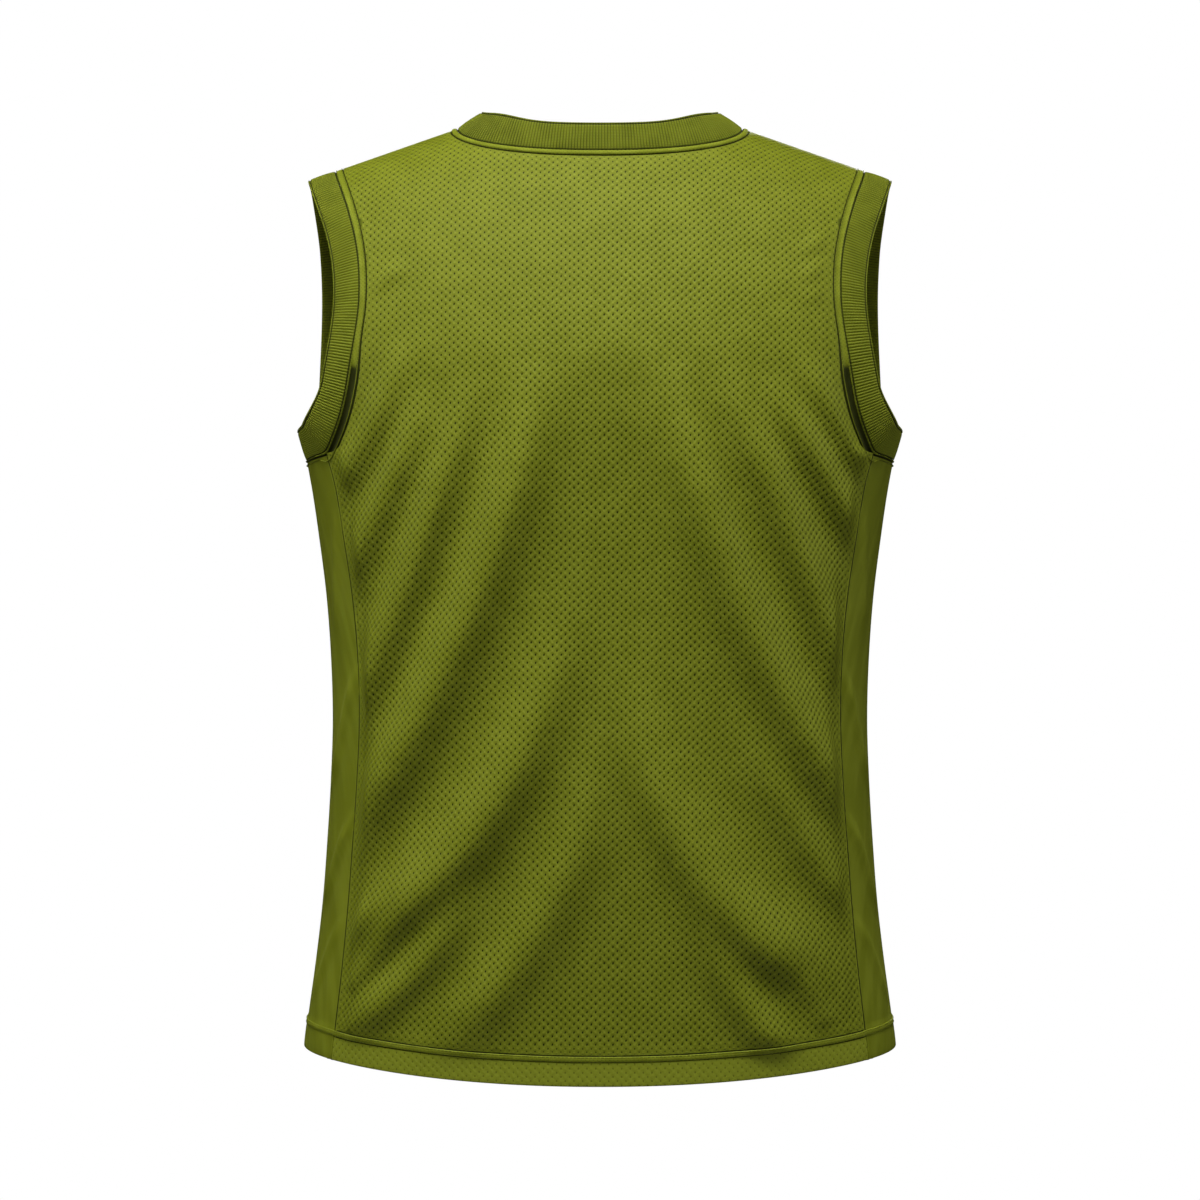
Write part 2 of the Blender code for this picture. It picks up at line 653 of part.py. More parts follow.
def build_bands(collection):
    knots, normals = neck_loop()
    seam, free, facing = band_rings(knots, normals, COLLAR_HEIGHT, COLLAR_LEAN)
    add_node(collection, "collar", band_mesh("collar", seam, free, facing), "rib")
    for sign, word in ((1, "left"), (-1, "right")):
        name = "armband_" + word
        knots, normals = armhole_loop(sign)
        flare = armband_flare(knots)
        seam, free, facing = band_rings(knots, normals, ARMBAND_WIDTH, flare)
        add_node(collection, name, band_mesh(name, seam, free, facing), "rib")


def main():
    for item in list(bpy.data.objects):
        bpy.data.objects.remove(item, do_unlink=True)
    collection = bpy.data.collections.new("sleeveless_jersey")
    bpy.context.scene.collection.children.link(collection)
    build_panels(collection)
    build_bands(collection)


main()
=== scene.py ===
"""The looks of a sleeveless mesh jersey, filled out as if worn and seen from behind.

Metres, +Z up, the garment's back at +Y and the wearer's left at +X. The large
panels are eyelet mesh with its holes cut through the outer face; the rib bands,
strips, hem, side panels and stitches are modelled cloth and thread around them.
"""

import math

import bpy
import numpy as np
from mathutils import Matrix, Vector


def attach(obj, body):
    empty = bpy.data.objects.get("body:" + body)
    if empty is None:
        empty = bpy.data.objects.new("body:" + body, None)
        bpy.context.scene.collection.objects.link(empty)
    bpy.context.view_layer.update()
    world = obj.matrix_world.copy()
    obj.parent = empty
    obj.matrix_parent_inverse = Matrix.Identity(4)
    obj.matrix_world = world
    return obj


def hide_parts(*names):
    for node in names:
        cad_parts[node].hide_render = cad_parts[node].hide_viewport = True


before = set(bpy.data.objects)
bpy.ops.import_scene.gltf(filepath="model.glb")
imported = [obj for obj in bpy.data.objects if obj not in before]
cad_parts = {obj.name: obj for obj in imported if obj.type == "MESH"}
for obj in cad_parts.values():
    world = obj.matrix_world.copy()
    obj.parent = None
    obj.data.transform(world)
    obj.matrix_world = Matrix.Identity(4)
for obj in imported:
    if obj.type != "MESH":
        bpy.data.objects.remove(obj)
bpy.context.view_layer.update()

# ---- the garment's form, as in the solids ----
ROUNDNESS = 2.4            # exponent of the ring sections
HEM_Z = -0.7068            # hem at the sides
HEM_DROP = 0.0163          # the hem hangs lower at centre back and front
CORNER_Z = -0.252          # where a side seam meets the armhole
UNDERARM_SCOOP = 0.0043    # the armhole dips below that at the side
SCOOP_START = 0.75         # the scoop begins this far up a side panel
ARCH_START = -0.200        # above this the panels curve over to the shoulder
ARCH_REACH = 0.170         # metres of row position for one radian of that curve
ARCH_TOP = ARCH_REACH * math.pi / 2
NECK_HALF_WIDTH = 0.110
NECK_ROUNDNESS = 2.2
BACK_NECK_DROP = 0.024
FRONT_NECK_DROP = 0.098
SHOULDER_SLOPE = 0.347
SHOULDER_AT_NECK = 0.001
SIDE_GAP = 0.00013         # each side of a side seam
EDGE_STEPS = 12            # rounds of the search for the armhole's edge
PANEL_STEP = 0.0002        # for slopes, in metres of x and of row position
SIDE_STEP = 0.004          # for slopes, in radians round a side and in metres up

RING_COLUMNS = ("z", "half_width", "back_depth", "front_depth", "seam_share")
RINGS = (
    (-0.7400, 0.2285, 0.1142, 0.1190, 0.886),
    (-0.7045, 0.2280, 0.1142, 0.1188, 0.886),
    (-0.6810, 0.2250, 0.1142, 0.1182, 0.886),
    (-0.6425, 0.2197, 0.1140, 0.1170, 0.887),
    (-0.5960, 0.2143, 0.1138, 0.1155, 0.888),
    (-0.5500, 0.2108, 0.1138, 0.1142, 0.886),
    (-0.5030, 0.2080, 0.1138, 0.1135, 0.882),
    (-0.4560, 0.2065, 0.1138, 0.1135, 0.878),
    (-0.4100, 0.2077, 0.1140, 0.1142, 0.877),
    (-0.3635, 0.2110, 0.1145, 0.1160, 0.882),
    (-0.3170, 0.2165, 0.1153, 0.1190, 0.892),
    (-0.2700, 0.2232, 0.1164, 0.1230, 0.903),
    (-0.2520, 0.2265, 0.1170, 0.1243, 0.914),
)

# Above the side panels the sections are open at the armholes. Their half width
# is that of the ring which each panel would belong to.
CHEST_COLUMNS = ("z", "back_ring", "front_ring", "back_depth", "front_depth",
                 "back_edge", "front_edge")
CHEST = (
    (-0.2520, 0.2265, 0.2265, 0.1170, 0.1243, 0.2070, 0.2070),
    (-0.2290, 0.2290, 0.2370, 0.1177, 0.1256, 0.1970, 0.2045),
    (-0.1840, 0.2340, 0.2550, 0.1165, 0.1270, 0.1870, 0.2032),
    (-0.1370, 0.2387, 0.2660, 0.1118, 0.1270, 0.1805, 0.2020),
    (-0.1000, 0.2420, 0.2710, 0.1090, 0.1260, 0.1828, 0.2016),
    (-0.0630, 0.2460, 0.2740, 0.1072, 0.1250, 0.1925, 0.2025),
    (-0.0318, 0.2500, 0.2760, 0.1065, 0.1250, 0.2044, 0.2044),
    (0.0300, 0.2560, 0.2800, 0.1055, 0.1250, 0.2200, 0.2200),
)

# ---- folds: soft ridges along bent lines, in the plane of the back ----
# Each line runs from an upper to a lower end through a point half-way. `outer` is
# the width of the flank that faces up and out, `inner` that of the other one, and
# `rise` the share of the line over which the ridge swells from nothing.
FOLD_COLUMNS = ("panel", "x_top", "z_top", "x_mid", "z_mid", "x_end", "z_end",
                "outer", "inner", "height", "rise")
FOLDS = (
    ("back", 0.140, -0.159, 0.164, -0.226, 0.202, -0.289, 0.013, 0.011, 0.0065, 0.50),
    ("back", 0.125, -0.193, 0.155, -0.282, 0.207, -0.378, 0.014, 0.012, 0.0090, 0.45),
    ("back", 0.091, -0.178, 0.134, -0.334, 0.204, -0.499, 0.018, 0.014, 0.0130, 0.40),
    ("back", 0.045, -0.170, 0.091, -0.367, 0.207, -0.581, 0.022, 0.019, 0.0160, 0.35),
    ("back", 0.022, -0.319, 0.072, -0.508, 0.197, -0.629, 0.026, 0.020, 0.0150, 0.50),
    ("back", 0.098, -0.564, 0.125, -0.627, 0.204, -0.699, 0.014, 0.014, 0.0085, 0.50),
    ("back", 0.007, -0.438, 0.033, -0.583, 0.126, -0.705, 0.020, 0.020, 0.0090, 0.50),
    ("back", -0.140, -0.167, -0.172, -0.224, -0.207, -0.273, 0.013, 0.011, 0.0065, 0.50),
    ("back", -0.120, -0.189, -0.159, -0.259, -0.207, -0.336, 0.014, 0.012, 0.0090, 0.45),
    ("back", -0.089, -0.178, -0.141, -0.319, -0.207, -0.486, 0.018, 0.014, 0.0120, 0.40),
    ("back", -0.051, -0.170, -0.100, -0.364, -0.208, -0.563, 0.022, 0.019, 0.0150, 0.35),
    ("back", -0.103, -0.423, -0.137, -0.520, -0.202, -0.612, 0.015, 0.014, 0.0070, 0.50),
    ("back", -0.015, -0.364, -0.065, -0.553, -0.178, -0.653, 0.026, 0.020, 0.0135, 0.50),
    ("back", -0.061, -0.542, -0.091, -0.642, -0.152, -0.713, 0.015, 0.015, 0.0080, 0.50),
    ("front", 0.146, -0.170, 0.168, -0.232, 0.203, -0.296, 0.013, 0.012, 0.0060, 0.50),
    ("front", 0.108, -0.190, 0.147, -0.300, 0.206, -0.420, 0.017, 0.014, 0.0100, 0.45),
    ("front", 0.060, -0.200, 0.104, -0.385, 0.205, -0.560, 0.022, 0.019, 0.0140, 0.40),
    ("front", 0.030, -0.350, 0.076, -0.530, 0.190, -0.648, 0.025, 0.020, 0.0130, 0.50),
    ("front", 0.010, -0.500, 0.044, -0.620, 0.130, -0.708, 0.019, 0.019, 0.0075, 0.50),
    ("front", -0.143, -0.175, -0.166, -0.240, -0.204, -0.310, 0.013, 0.012, 0.0065, 0.50),
    ("front", -0.104, -0.185, -0.140, -0.290, -0.206, -0.400, 0.017, 0.014, 0.0095, 0.45),
    ("front", -0.066, -0.195, -0.112, -0.370, -0.206, -0.530, 0.021, 0.018, 0.0135, 0.40),
    ("front", -0.022, -0.330, -0.070, -0.520, -0.186, -0.635, 0.026, 0.020, 0.0135, 0.50),
    ("front", -0.055, -0.560, -0.088, -0.640, -0.158, -0.710, 0.016, 0.015, 0.0075, 0.50),
)
# Smaller creases that only the cloth's own surface has.
SMALL_FOLDS = (
    ("back", 0.141, -0.590, 0.167, -0.631, 0.197, -0.661, 0.009, 0.008, 0.0040, 0.50),
    ("back", 0.160, -0.575, 0.178, -0.605, 0.201, -0.624, 0.008, 0.008, 0.0030, 0.50),
    ("back", -0.149, -0.635, -0.158, -0.661, -0.171, -0.687, 0.009, 0.009, 0.0028, 0.50),
    ("back", -0.145, -0.107, -0.163, -0.096, -0.184, -0.083, 0.006, 0.006, 0.0016, 0.40),
    ("back", -0.147, -0.127, -0.163, -0.115, -0.182, -0.103, 0.006, 0.006, 0.0015, 0.40),
    ("back", -0.150, -0.143, -0.165, -0.133, -0.182, -0.121, 0.006, 0.005, 0.0012, 0.40),
    ("back", 0.140, -0.112, 0.160, -0.124, 0.184, -0.141, 0.007, 0.006, 0.0020, 0.40),
    ("back", 0.176, -0.178, 0.186, -0.205, 0.200, -0.236, 0.007, 0.006, 0.0022, 0.40),
    ("front", 0.150, -0.596, 0.172, -0.632, 0.200, -0.658, 0.009, 0.008, 0.0034, 0.50),
    ("front", -0.138, -0.560, -0.162, -0.602, -0.196, -0.634, 0.010, 0.009, 0.0038, 0.50),
    ("front", 0.150, -0.118, 0.168, -0.106, 0.188, -0.092, 0.006, 0.006, 0.0015, 0.40),
    ("front", -0.146, -0.124, -0.166, -0.134, -0.188, -0.152, 0.007, 0.006, 0.0018, 0.40),
)
FOLD_SAMPLES = 22
FOLD_FADE_FROM = 0.78      # share of the line past which a ridge sinks again
FOLD_LEFT_AT_END = 0.15    # share of its height that is left at the lower end
FOLD_EDGE_FADE = 0.016     # folds die out this far from a panel's side edge
FOLD_HEM_FADE = 0.034

# ---- eyelet mesh ----
REPEAT_ACROSS = 0.0064     # eyelets of one row; the next row is half a repeat over
REPEAT_UP = 0.0060
EYELET_HALF_WIDTH = 0.00056
EYELET_HALF_HEIGHT = 0.00120
EYELET_SLANT = 0.00035     # the eyelet's top leans this far to the photograph's right
THREAD_RISE = 0.00008      # crossings stand out, eyelets lie in
EYELET_SINK = 0.00020
CLOTH_THICKNESS = 0.0007
UV_MARGIN = 0.004          # round the unwrapped picture of a piece
SHEET_SAMPLES = 481        # places across and up at which the cloth is measured
SHEET_REACH = 0.236        # half of the measured width
NECK_SAMPLES = 400
BORDER_STEP = 0.0010
LEAST_AREA = 1e-8          # of a triangle, below which it is left out

# ---- hem ----
HEM_HEIGHT = 0.023
HEM_RADIUS = 0.0011        # of the fold at the bottom
HEM_OUT = 0.0005           # the outer layer stands out this far
HEM_COLUMNS = 181
HEM_LAYER_ROWS = 7         # up each of the hem's two layers
HEM_TURN_ROWS = 9          # round the fold between them
SECOND_SEAM = 0.0036       # a second line runs this far beside the seam, in the hem
SEAM_WIDTH = 0.0028        # of the raised edges of the cloth at a side seam

# ---- strips beside the seams ----
STRIP = 0.006
LOW_STRIP = 0.0095         # width beside the lower armhole, where the strip sinks in
STRIP_COVER = 0.95         # the mesh ends at this share of the strip's width
CORNER_REACH = (-0.4, 0.5) # strip widths from the corner's height, to draw the mesh back
UNDERARM_STRIP = 0.0044    # width of the strip on a side panel
UNDERARM_COVER = 0.0024    # the side panel ends this far in
RECESS = 0.0021            # the strip sinks in beside the lower armhole
WIDENING_TOP = -0.160      # from here down the strip widens, and from RECESS_TOP it sinks
RECESS_TOP = -0.180
RECESS_FULL = -0.200       # both are complete here
UNDERARM_RECESS = 0.55     # share of the recess that is left under the arm
UNDERARM_TURN = (0.001, -0.009)       # past a side seam, where the strip changes over
SHOULDER_STRIP = 0.0045    # half width of the strip over a shoulder seam
SHOULDER_RISE = 0.0006
SHOULDER_SQUARENESS = 6    # exponent of that strip's section
SHOULDER_ROWS = 17
SHOULDER_COLUMNS = 60
# Sections from the seam outward: share of the width, height, share of the recess, which
# is also painted as shade, and how much painted shade the seams' grooves get.
ROLL = (
    (0.00, -0.0003, 0.0, 1.0), (0.06, -0.0001, 0.0, 1.0), (0.10, 0.0004, 0.0, 0.0),
    (0.22, 0.0012, 0.0, 0.0), (0.45, 0.0014, 0.0, 0.0), (0.66, 0.0011, 0.0, 0.0),
    (0.76, 0.0003, 0.0, 0.0), (0.79, -0.0003, 0.0, 1.0), (0.95, -0.0005, 0.0, 1.0),
    (1.00, -0.0009, 0.0, 1.0), (1.20, -0.0010, 0.0, 1.0),
)
CHANNEL = (
    (0.00, -0.0008, 0.0, 1.0), (0.05, -0.0003, 0.0, 1.0), (0.07, 0.0005, 0.0, 0.0),
    (0.12, 0.0007, 0.0, 0.0), (0.15, 0.0005, 0.1, 0.0), (0.17, 0.0003, 1.0, 0.0),
    (0.50, 0.0004, 1.0, 0.0), (0.81, 0.0003, 1.0, 0.0), (0.83, 0.0005, 0.1, 0.0),
    (0.86, 0.0007, 0.0, 0.0), (0.90, 0.0006, 0.0, 0.0), (0.92, -0.0003, 0.0, 1.0),
    (0.99, -0.0008, 0.0, 1.0), (1.15, -0.0009, 0.0, 1.0),
)
TAPE = (
    (-0.25, -0.0012, 0.0, 1.0), (-0.08, -0.0006, 0.0, 1.0), (0.09, -0.0004, 0.0, 1.0),
    (0.13, 0.0006, 0.0, 0.0), (0.22, 0.0010, 0.0, 0.0), (0.48, 0.0010, 0.0, 0.0),
    (0.72, 0.0009, 0.0, 0.0), (0.80, 0.0004, 0.0, 0.0), (0.84, -0.0003, 0.0, 1.0),
    (1.00, -0.0005, 0.0, 1.0), (1.20, -0.0012, 0.0, 1.0),
)
SEAM = (
    (-0.60, -0.0005, 0.0, 0.0), (-0.45, 0.0003, 0.0, 0.0), (-0.25, 0.0003, 0.0, 0.0),
    (-0.17, 0.0001, 0.0, 1.0), (0.17, 0.0001, 0.0, 1.0), (0.25, 0.0003, 0.0, 0.0),
    (0.45, 0.0003, 0.0, 0.0), (0.60, -0.0005, 0.0, 0.0),
)

# ---- rib bands ----
COLLAR_HEIGHT = 0.0232
COLLAR_LEAN = math.radians(16)
ARMBAND_WIDTH = 0.0225
RIB_PITCH = 0.0023
RIB_RISE = 0.00060
RIB_LEVEL = 0.6            # share of a rib's height that lies below the band's form
COLUMNS_PER_RIB = 6
LOOP_POINTS = 1600
SEAM_POINTS = 200
ARMHOLE_SAMPLES = 300      # up a panel's edge
UNDERARM_SAMPLES = 60      # between two side seams
HEM_SAMPLES = 260          # across a panel
NECK_BLUR = 0.005          # shares of a loop over which its corners are softened
ARMHOLE_BLUR = 0.006
HEM_BLUR = 0.0006
BAND_TURN = 0.022          # share of a loop over which a band turns round its corners
COLLAR_REACH = 0.0036      # the free edge stands higher at the sides of the neck
COLLAR_CORNER = (0.088, 0.028)       # |x| of the seam there, and over what distance
ARMBAND_REACH = 0.0068     # the free edge is drawn out beside the underarm
REACH_TOP = -0.205
REACH_FULL = -0.250
REACH_DEPTH = 0.055        # this far from the side
SHOULDER_REACH = (0.0015, 0.0, 0.0030)    # the free edge stands out over the shoulder
SHOULDER_REACH_HEIGHTS = (-0.085, -0.045)
FLARE_TURN = 0.01          # metres either side of the shoulder over which back becomes front
FLARE = (                  # height, and degrees that an armband flares out at the back and front
    (-0.2560, 8.0, 8.0),
    (-0.2300, 14.0, 22.0),
    (-0.2000, 9.0, 20.0),
    (-0.1600, 2.0, 8.0),
    (-0.1200, 0.0, 0.0),
)

# ---- stitches ----
STITCH_PITCH = 0.0029
STITCH_LENGTH = 0.0021
STITCH_RADIUS = 0.00024
STITCH_ARCH = 0.3          # its middle stands out by this share of its radius
STITCH_SIDES = 6
# Rings along a stitch: place from -1 to 1, and share of its radius.
STITCH_RINGS = ((-1.0, 0.25), (-0.8, 0.8), (0.0, 1.0), (0.8, 0.8), (1.0, 0.25))
# Rows of a strip's section that its two lines of stitches run along.
NECK_STITCHES = (2, 6)
ARMHOLE_STITCHES = (3, 9)
HEM_STITCHES = (4, 6)

# ---- camera ----
CAMERA_DISTANCE = 2.4
CAMERA_Z = -0.3635
FRAME_SIDE = 0.930         # metres of garment across the picture, 0.775 mm a pixel
SENSOR = 0.036


# ---- curves and surfaces, as in the solids ----
def smooth_column(rows, columns, name, at):
    """Value of a named column at heights `at`, on a smooth curve through the rows."""
    table = np.array(rows)
    heights = table[:, 0]
    values = table[:, columns.index(name)]
    slopes = np.gradient(values, heights)
    at = np.clip(at, heights[0], heights[-1])
    low = np.clip(np.searchsorted(heights, at) - 1, 0, len(heights) - 2)
    span = heights[low + 1] - heights[low]
    t = (at - heights[low]) / span
    start = (2 * t**3 - 3 * t**2 + 1) * values[low]
    end = (3 * t**2 - 2 * t**3) * values[low + 1]
    lift = (t**3 - 2 * t**2 + t) * span * slopes[low]
    fall = (t**3 - t**2) * span * slopes[low + 1]
    return start + end + lift + fall


def smoothstep(low, high, value):
    t = np.clip((value - low) / (high - low), 0.0, 1.0)
    return t * t * (3 - 2 * t)


def side_word(side):
    return "back" if side > 0 else "front"


def hand(sign):
    return "left" if sign > 0 else "right"


def at_height(z, ring_name, chest_name):
    """A column of the rings at heights z, and above them a column of the chest."""
    ring = smooth_column(RINGS, RING_COLUMNS, ring_name, z)
    chest = smooth_column(CHEST, CHEST_COLUMNS, chest_name, z)
    return np.where(z < CORNER_Z, ring, chest)


def half_width(z, side):
    return at_height(z, "half_width", side_word(side) + "_ring")


def half_depth(z, side):
    column = side_word(side) + "_depth"
    return at_height(z, column, column)


def edge_of_panel(z, side):
    """Half width of a panel at height z: to its side seam or its armhole."""
    share = smooth_column(RINGS, RING_COLUMNS, "seam_share", z)
    ring = smooth_column(RINGS, RING_COLUMNS, "half_width", z)
    armhole = smooth_column(CHEST, CHEST_COLUMNS, side_word(side) + "_edge", z)
    return np.where(z < CORNER_Z, share * ring, armhole)


def hem_height(share):
    """Height of the hem where x is this share of the ring's half width."""
    return HEM_Z - HEM_DROP * (1 - np.asarray(share) ** 2)


def hem_below(x):
    return hem_height(np.abs(x) / half_width(HEM_Z, 1))


def shoulder_height(x):
    reach = np.abs(x)
    curve = SHOULDER_SLOPE / (2 * NECK_HALF_WIDTH)
    peak = SHOULDER_AT_NECK + curve * NECK_HALF_WIDTH**2
    inner = peak - curve * reach**2
    outer = SHOULDER_AT_NECK - SHOULDER_SLOPE * (reach - NECK_HALF_WIDTH)
    return np.where(reach < NECK_HALF_WIDTH, inner, outer)


def row_height(x, row):
    """Height of a row position, which above ARCH_START is the way along the arch."""
    reach = shoulder_height(x) - ARCH_START
    return ARCH_START + np.where(row > 0, reach * np.sin(np.maximum(row, 0) / ARCH_REACH), row)


def panel_point(x, row, side):
    """Point of the back (side 1) or front (side -1), without its folds."""
    x, row = np.broadcast_arrays(x, row)
    z = row_height(x, row)
    share = np.clip(np.abs(x) / half_width(z, side), 0.0, 1.0)
    depth = half_depth(z, side) * (1 - share**ROUNDNESS) ** (1 / ROUNDNESS)
    return np.stack([x, side * depth * np.cos(np.maximum(row, 0) / ARCH_REACH), z], axis=-1)


def unit(vectors):
    return vectors / np.linalg.norm(vectors, axis=-1, keepdims=True)


def panel_slopes(x, row, side):
    """How far a panel's point moves for a metre of x and for a metre of row position."""
    step = PANEL_STEP
    across = panel_point(x + step, row, side) - panel_point(x - step, row, side)
    upward = panel_point(x, row + step, side) - panel_point(x, row - step, side)
    return across / (2 * step), upward / (2 * step)


def panel_normal(x, row, side):
    across, upward = panel_slopes(x, row, side)
    return unit(side * np.cross(upward, across))


def armhole_edge(rows, side):
    """Half width of the panel's edge at each row position of the arch."""
    x = np.full(len(rows), edge_of_panel(ARCH_START, side))
    for _ in range(EDGE_STEPS):
        x = edge_of_panel(row_height(x, rows), side)
    return x


def neck_angles(turn, side):
    """x and arch angle of the neck seam, turn 0 at the centre and pi/2 at the side."""
    drop = BACK_NECK_DROP if side > 0 else FRONT_NECK_DROP
    power = 2 / NECK_ROUNDNESS
    x = NECK_HALF_WIDTH * np.sin(turn) ** power
    z = -drop * np.cos(turn) ** power
    reach = shoulder_height(x) - ARCH_START
    angle = np.arcsin(np.clip((z - ARCH_START) / reach, 0, 1))
    return x, np.where(turn >= math.pi / 2, math.pi / 2, angle)


def side_ring(angle, level, sign):
    """Points round a side: angle 0 at the side itself, more towards the back."""
    power = 2 / ROUNDNESS
    share = np.cos(angle) ** power
    hem = hem_height(share)
    z = hem + (level - HEM_Z) * (CORNER_Z - hem) / (CORNER_Z - HEM_Z)
    depth = np.where(angle > 0, half_depth(z, 1), half_depth(z, -1))
    y = depth * np.sign(angle) * np.abs(np.sin(angle)) ** power
    return np.stack([sign * half_width(level, 1) * share, y, z], axis=-1)


def side_normal(angle, level, sign):
    step = SIDE_STEP
    around = side_ring(angle + step, level, sign) - side_ring(angle - step, level, sign)
    upward = side_ring(angle, level + step, sign) - side_ring(angle, level - step, sign)
    return unit(sign * np.cross(around, upward))


def seam_angle(level):
    """Angle round a side at which its side seams lie."""
    share = (edge_of_panel(level, 1) + SIDE_GAP) / half_width(level, 1)
    return np.arccos(share ** (ROUNDNESS / 2))


# ---- folds ----
def fold_line(row):
    """Points of a ridge's line and the share of its height at each."""
    t = np.linspace(0.0, 1.0, FOLD_SAMPLES)
    line = []
    for axis in ("x", "z"):
        top, middle, end = (row[axis + place] for place in ("_top", "_mid", "_end"))
        bend = 2 * middle - (top + end) / 2
        line.append((1 - t) ** 2 * top + 2 * t * (1 - t) * bend + t**2 * end)
    sink = (1 - FOLD_LEFT_AT_END) * smoothstep(FOLD_FADE_FROM, 1.0, t)
    return line[0], line[1], smoothstep(0.0, row["rise"], t) * (1 - sink)


def fold_ridge(x, z, row):
    """Height of one ridge: its swell along the line, times its section across it."""
    line_x, line_z, swell = fold_line(row)
    outward = math.copysign(1.0, row["x_end"])
    nearest = np.full(np.shape(x), np.inf)
    ridge = np.zeros(np.shape(x))
    for i in range(FOLD_SAMPLES - 1):
        run_x, run_z = line_x[i + 1] - line_x[i], line_z[i + 1] - line_z[i]
        share = ((x - line_x[i]) * run_x + (z - line_z[i]) * run_z) / (run_x**2 + run_z**2)
        share = np.clip(share, 0.0, 1.0)
        away_x, away_z = x - line_x[i] - share * run_x, z - line_z[i] - share * run_z
        gap = away_x**2 + away_z**2
        above = outward * (run_x * away_z - run_z * away_x) > 0
        width = np.where(above, row["outer"], row["inner"])
        here = (swell[i] + share * (swell[i + 1] - swell[i])) * np.exp(-gap / width**2)
        ridge = np.where(gap < nearest, here, ridge)
        nearest = np.minimum(gap, nearest)
    return row["height"] * ridge


def fold_height(x, z, panel):
    """Height of the soft ridges at a place on a panel."""
    rows = [dict(zip(FOLD_COLUMNS, fold)) for fold in FOLDS + SMALL_FOLDS]
    return sum(fold_ridge(x, z, row) for row in rows if row["panel"] == panel)


def cloth_lift(x, row, side):
    """How far the cloth of a panel stands out from its plain form."""
    z = row_height(x, row)
    beside = edge_of_panel(z, side) - np.abs(x)
    strip = STRIP * smoothstep(CORNER_Z - STRIP, CORNER_Z + STRIP, z)
    fade = smoothstep(0.0, FOLD_EDGE_FADE, beside - strip)
    fade = fade * smoothstep(0.0, FOLD_HEM_FADE, z - hem_below(x))
    return fade * fold_height(x, z, side_word(side))


def on_panel(x, row, side, lift=0.0):
    """Points of a panel with its folds, moved out by `lift`."""
    out = cloth_lift(x, row, side) + lift
    return panel_point(x, row, side) + panel_normal(x, row, side) * out[..., None]


# ---- pieces from meshes ----
def fitted(uvs):
    """The same places, filling a square with a small margin."""
    low, high = uvs.min(axis=0), uvs.max(axis=0)
    return UV_MARGIN + (1 - 2 * UV_MARGIN) * (uvs - low) / (high - low)


def add_layer(mesh, name, values, corners):
    layer = mesh.uv_layers.new(name=name)
    layer.uv.foreach_set("vector", np.asarray(values, np.float32)[corners].ravel())


def new_piece(name, points, faces, material, uvs, painted_shade_and_light=None):
    """A mesh object. uvs holds a place on the cloth, in metres, for each vertex.

    The last argument gives each vertex its painted shade in a fold of the sewing, 0 to 1,
    or -1 where the cloth is turned double and painted lighter.
    """
    mesh = bpy.data.meshes.new(name)
    points, uvs = np.reshape(points, (-1, 3)), np.reshape(uvs, (-1, 2))
    mesh.from_pydata(points.tolist(), [], faces)
    corners = np.zeros(len(mesh.loops), np.int32)
    mesh.loops.foreach_get("vertex_index", corners)
    add_layer(mesh, "cloth", uvs, corners)
    add_layer(mesh, "OFBake", fitted(uvs), corners)
    if painted_shade_and_light is not None:
        layer = mesh.attributes.new("painted_shade_and_light", "FLOAT", "POINT")
        layer.data.foreach_set("value", np.asarray(painted_shade_and_light, np.float32).ravel())
    mesh.materials.append(material)
    mesh.shade_smooth()
    piece = bpy.data.objects.new(name, mesh)
    bpy.context.scene.collection.objects.link(piece)
    return piece


def grid_faces(rows, columns, closed=False, flip=False):
    """Quads of a grid of points; closed joins the last column to the first."""
    across = columns if closed else columns - 1
    row, column = np.meshgrid(np.arange(rows - 1), np.arange(across), indexing="ij")
    after = (column + 1) % columns
    quad = np.stack([row * columns + column, row * columns + after,
                     (row + 1) * columns + after, (row + 1) * columns + column], axis=-1)
    quad = quad.reshape(-1, 4)
    return (quad[:, ::-1] if flip else quad).tolist()


def lengths_along(points, axis):
    """Distances along one axis of a grid of points, 0 at its start."""
    steps = np.linalg.norm(np.diff(points, axis=axis), axis=-1)
    start = np.zeros_like(steps.take([0], axis=axis))
    return np.concatenate([start, steps.cumsum(axis=axis)], axis=axis)


# ---- edges of the eyelet mesh ----
def strip_width(z):
    """Width of the strip beside an armhole at height z."""
    return STRIP + (LOW_STRIP - STRIP) * smoothstep(WIDENING_TOP, RECESS_FULL, z)


def cover(z):
    """How far in from a panel's edge its mesh ends, at height z: under the strips."""
    low, high = (CORNER_Z + reach * STRIP for reach in CORNER_REACH)
    along = smoothstep(low, high, z)
    return SIDE_GAP + STRIP_COVER * strip_width(z) * along


def mesh_edge(rows, side):
    """Half width of the mesh at row positions above the side seam."""
    x = armhole_edge(rows, side)
    return x - cover(row_height(x, rows))


def neck_edge(side):
    """x and row position where the mesh ends under the neck strip."""
    turn = np.linspace(0.0, math.pi / 2, NECK_SAMPLES)
    x, angle = neck_angles(turn, side)
    row = angle * ARCH_REACH
    across, upward = panel_slopes(x, row, side)
    along = across * np.gradient(x)[:, None] + upward * np.gradient(row)[:, None]
    out_x, out_row = (upward * along).sum(axis=1), -(across * along).sum(axis=1)
    turned = np.where(out_x * x > out_row, 1.0, -1.0)
    length = np.linalg.norm(across * out_x[:, None] + upward * out_row[:, None], axis=1)
    scale = turned * STRIP_COVER * STRIP / length
    x, row = x + scale * out_x, row + scale * out_row
    return np.maximum.accumulate(np.maximum(x, 0.0)), np.minimum(row, ARCH_TOP)


def top_row(x, side):
    """Row position of the mesh's upper edge above each x."""
    neck_x, row = neck_edge(side)
    return np.interp(np.abs(x), neck_x, row, right=ARCH_TOP)


def hem_join(x):
    """Height at which the mesh meets the turned hem, under the hem's strip."""
    return hem_below(x) + HEM_HEIGHT + (1 - STRIP_COVER) * STRIP


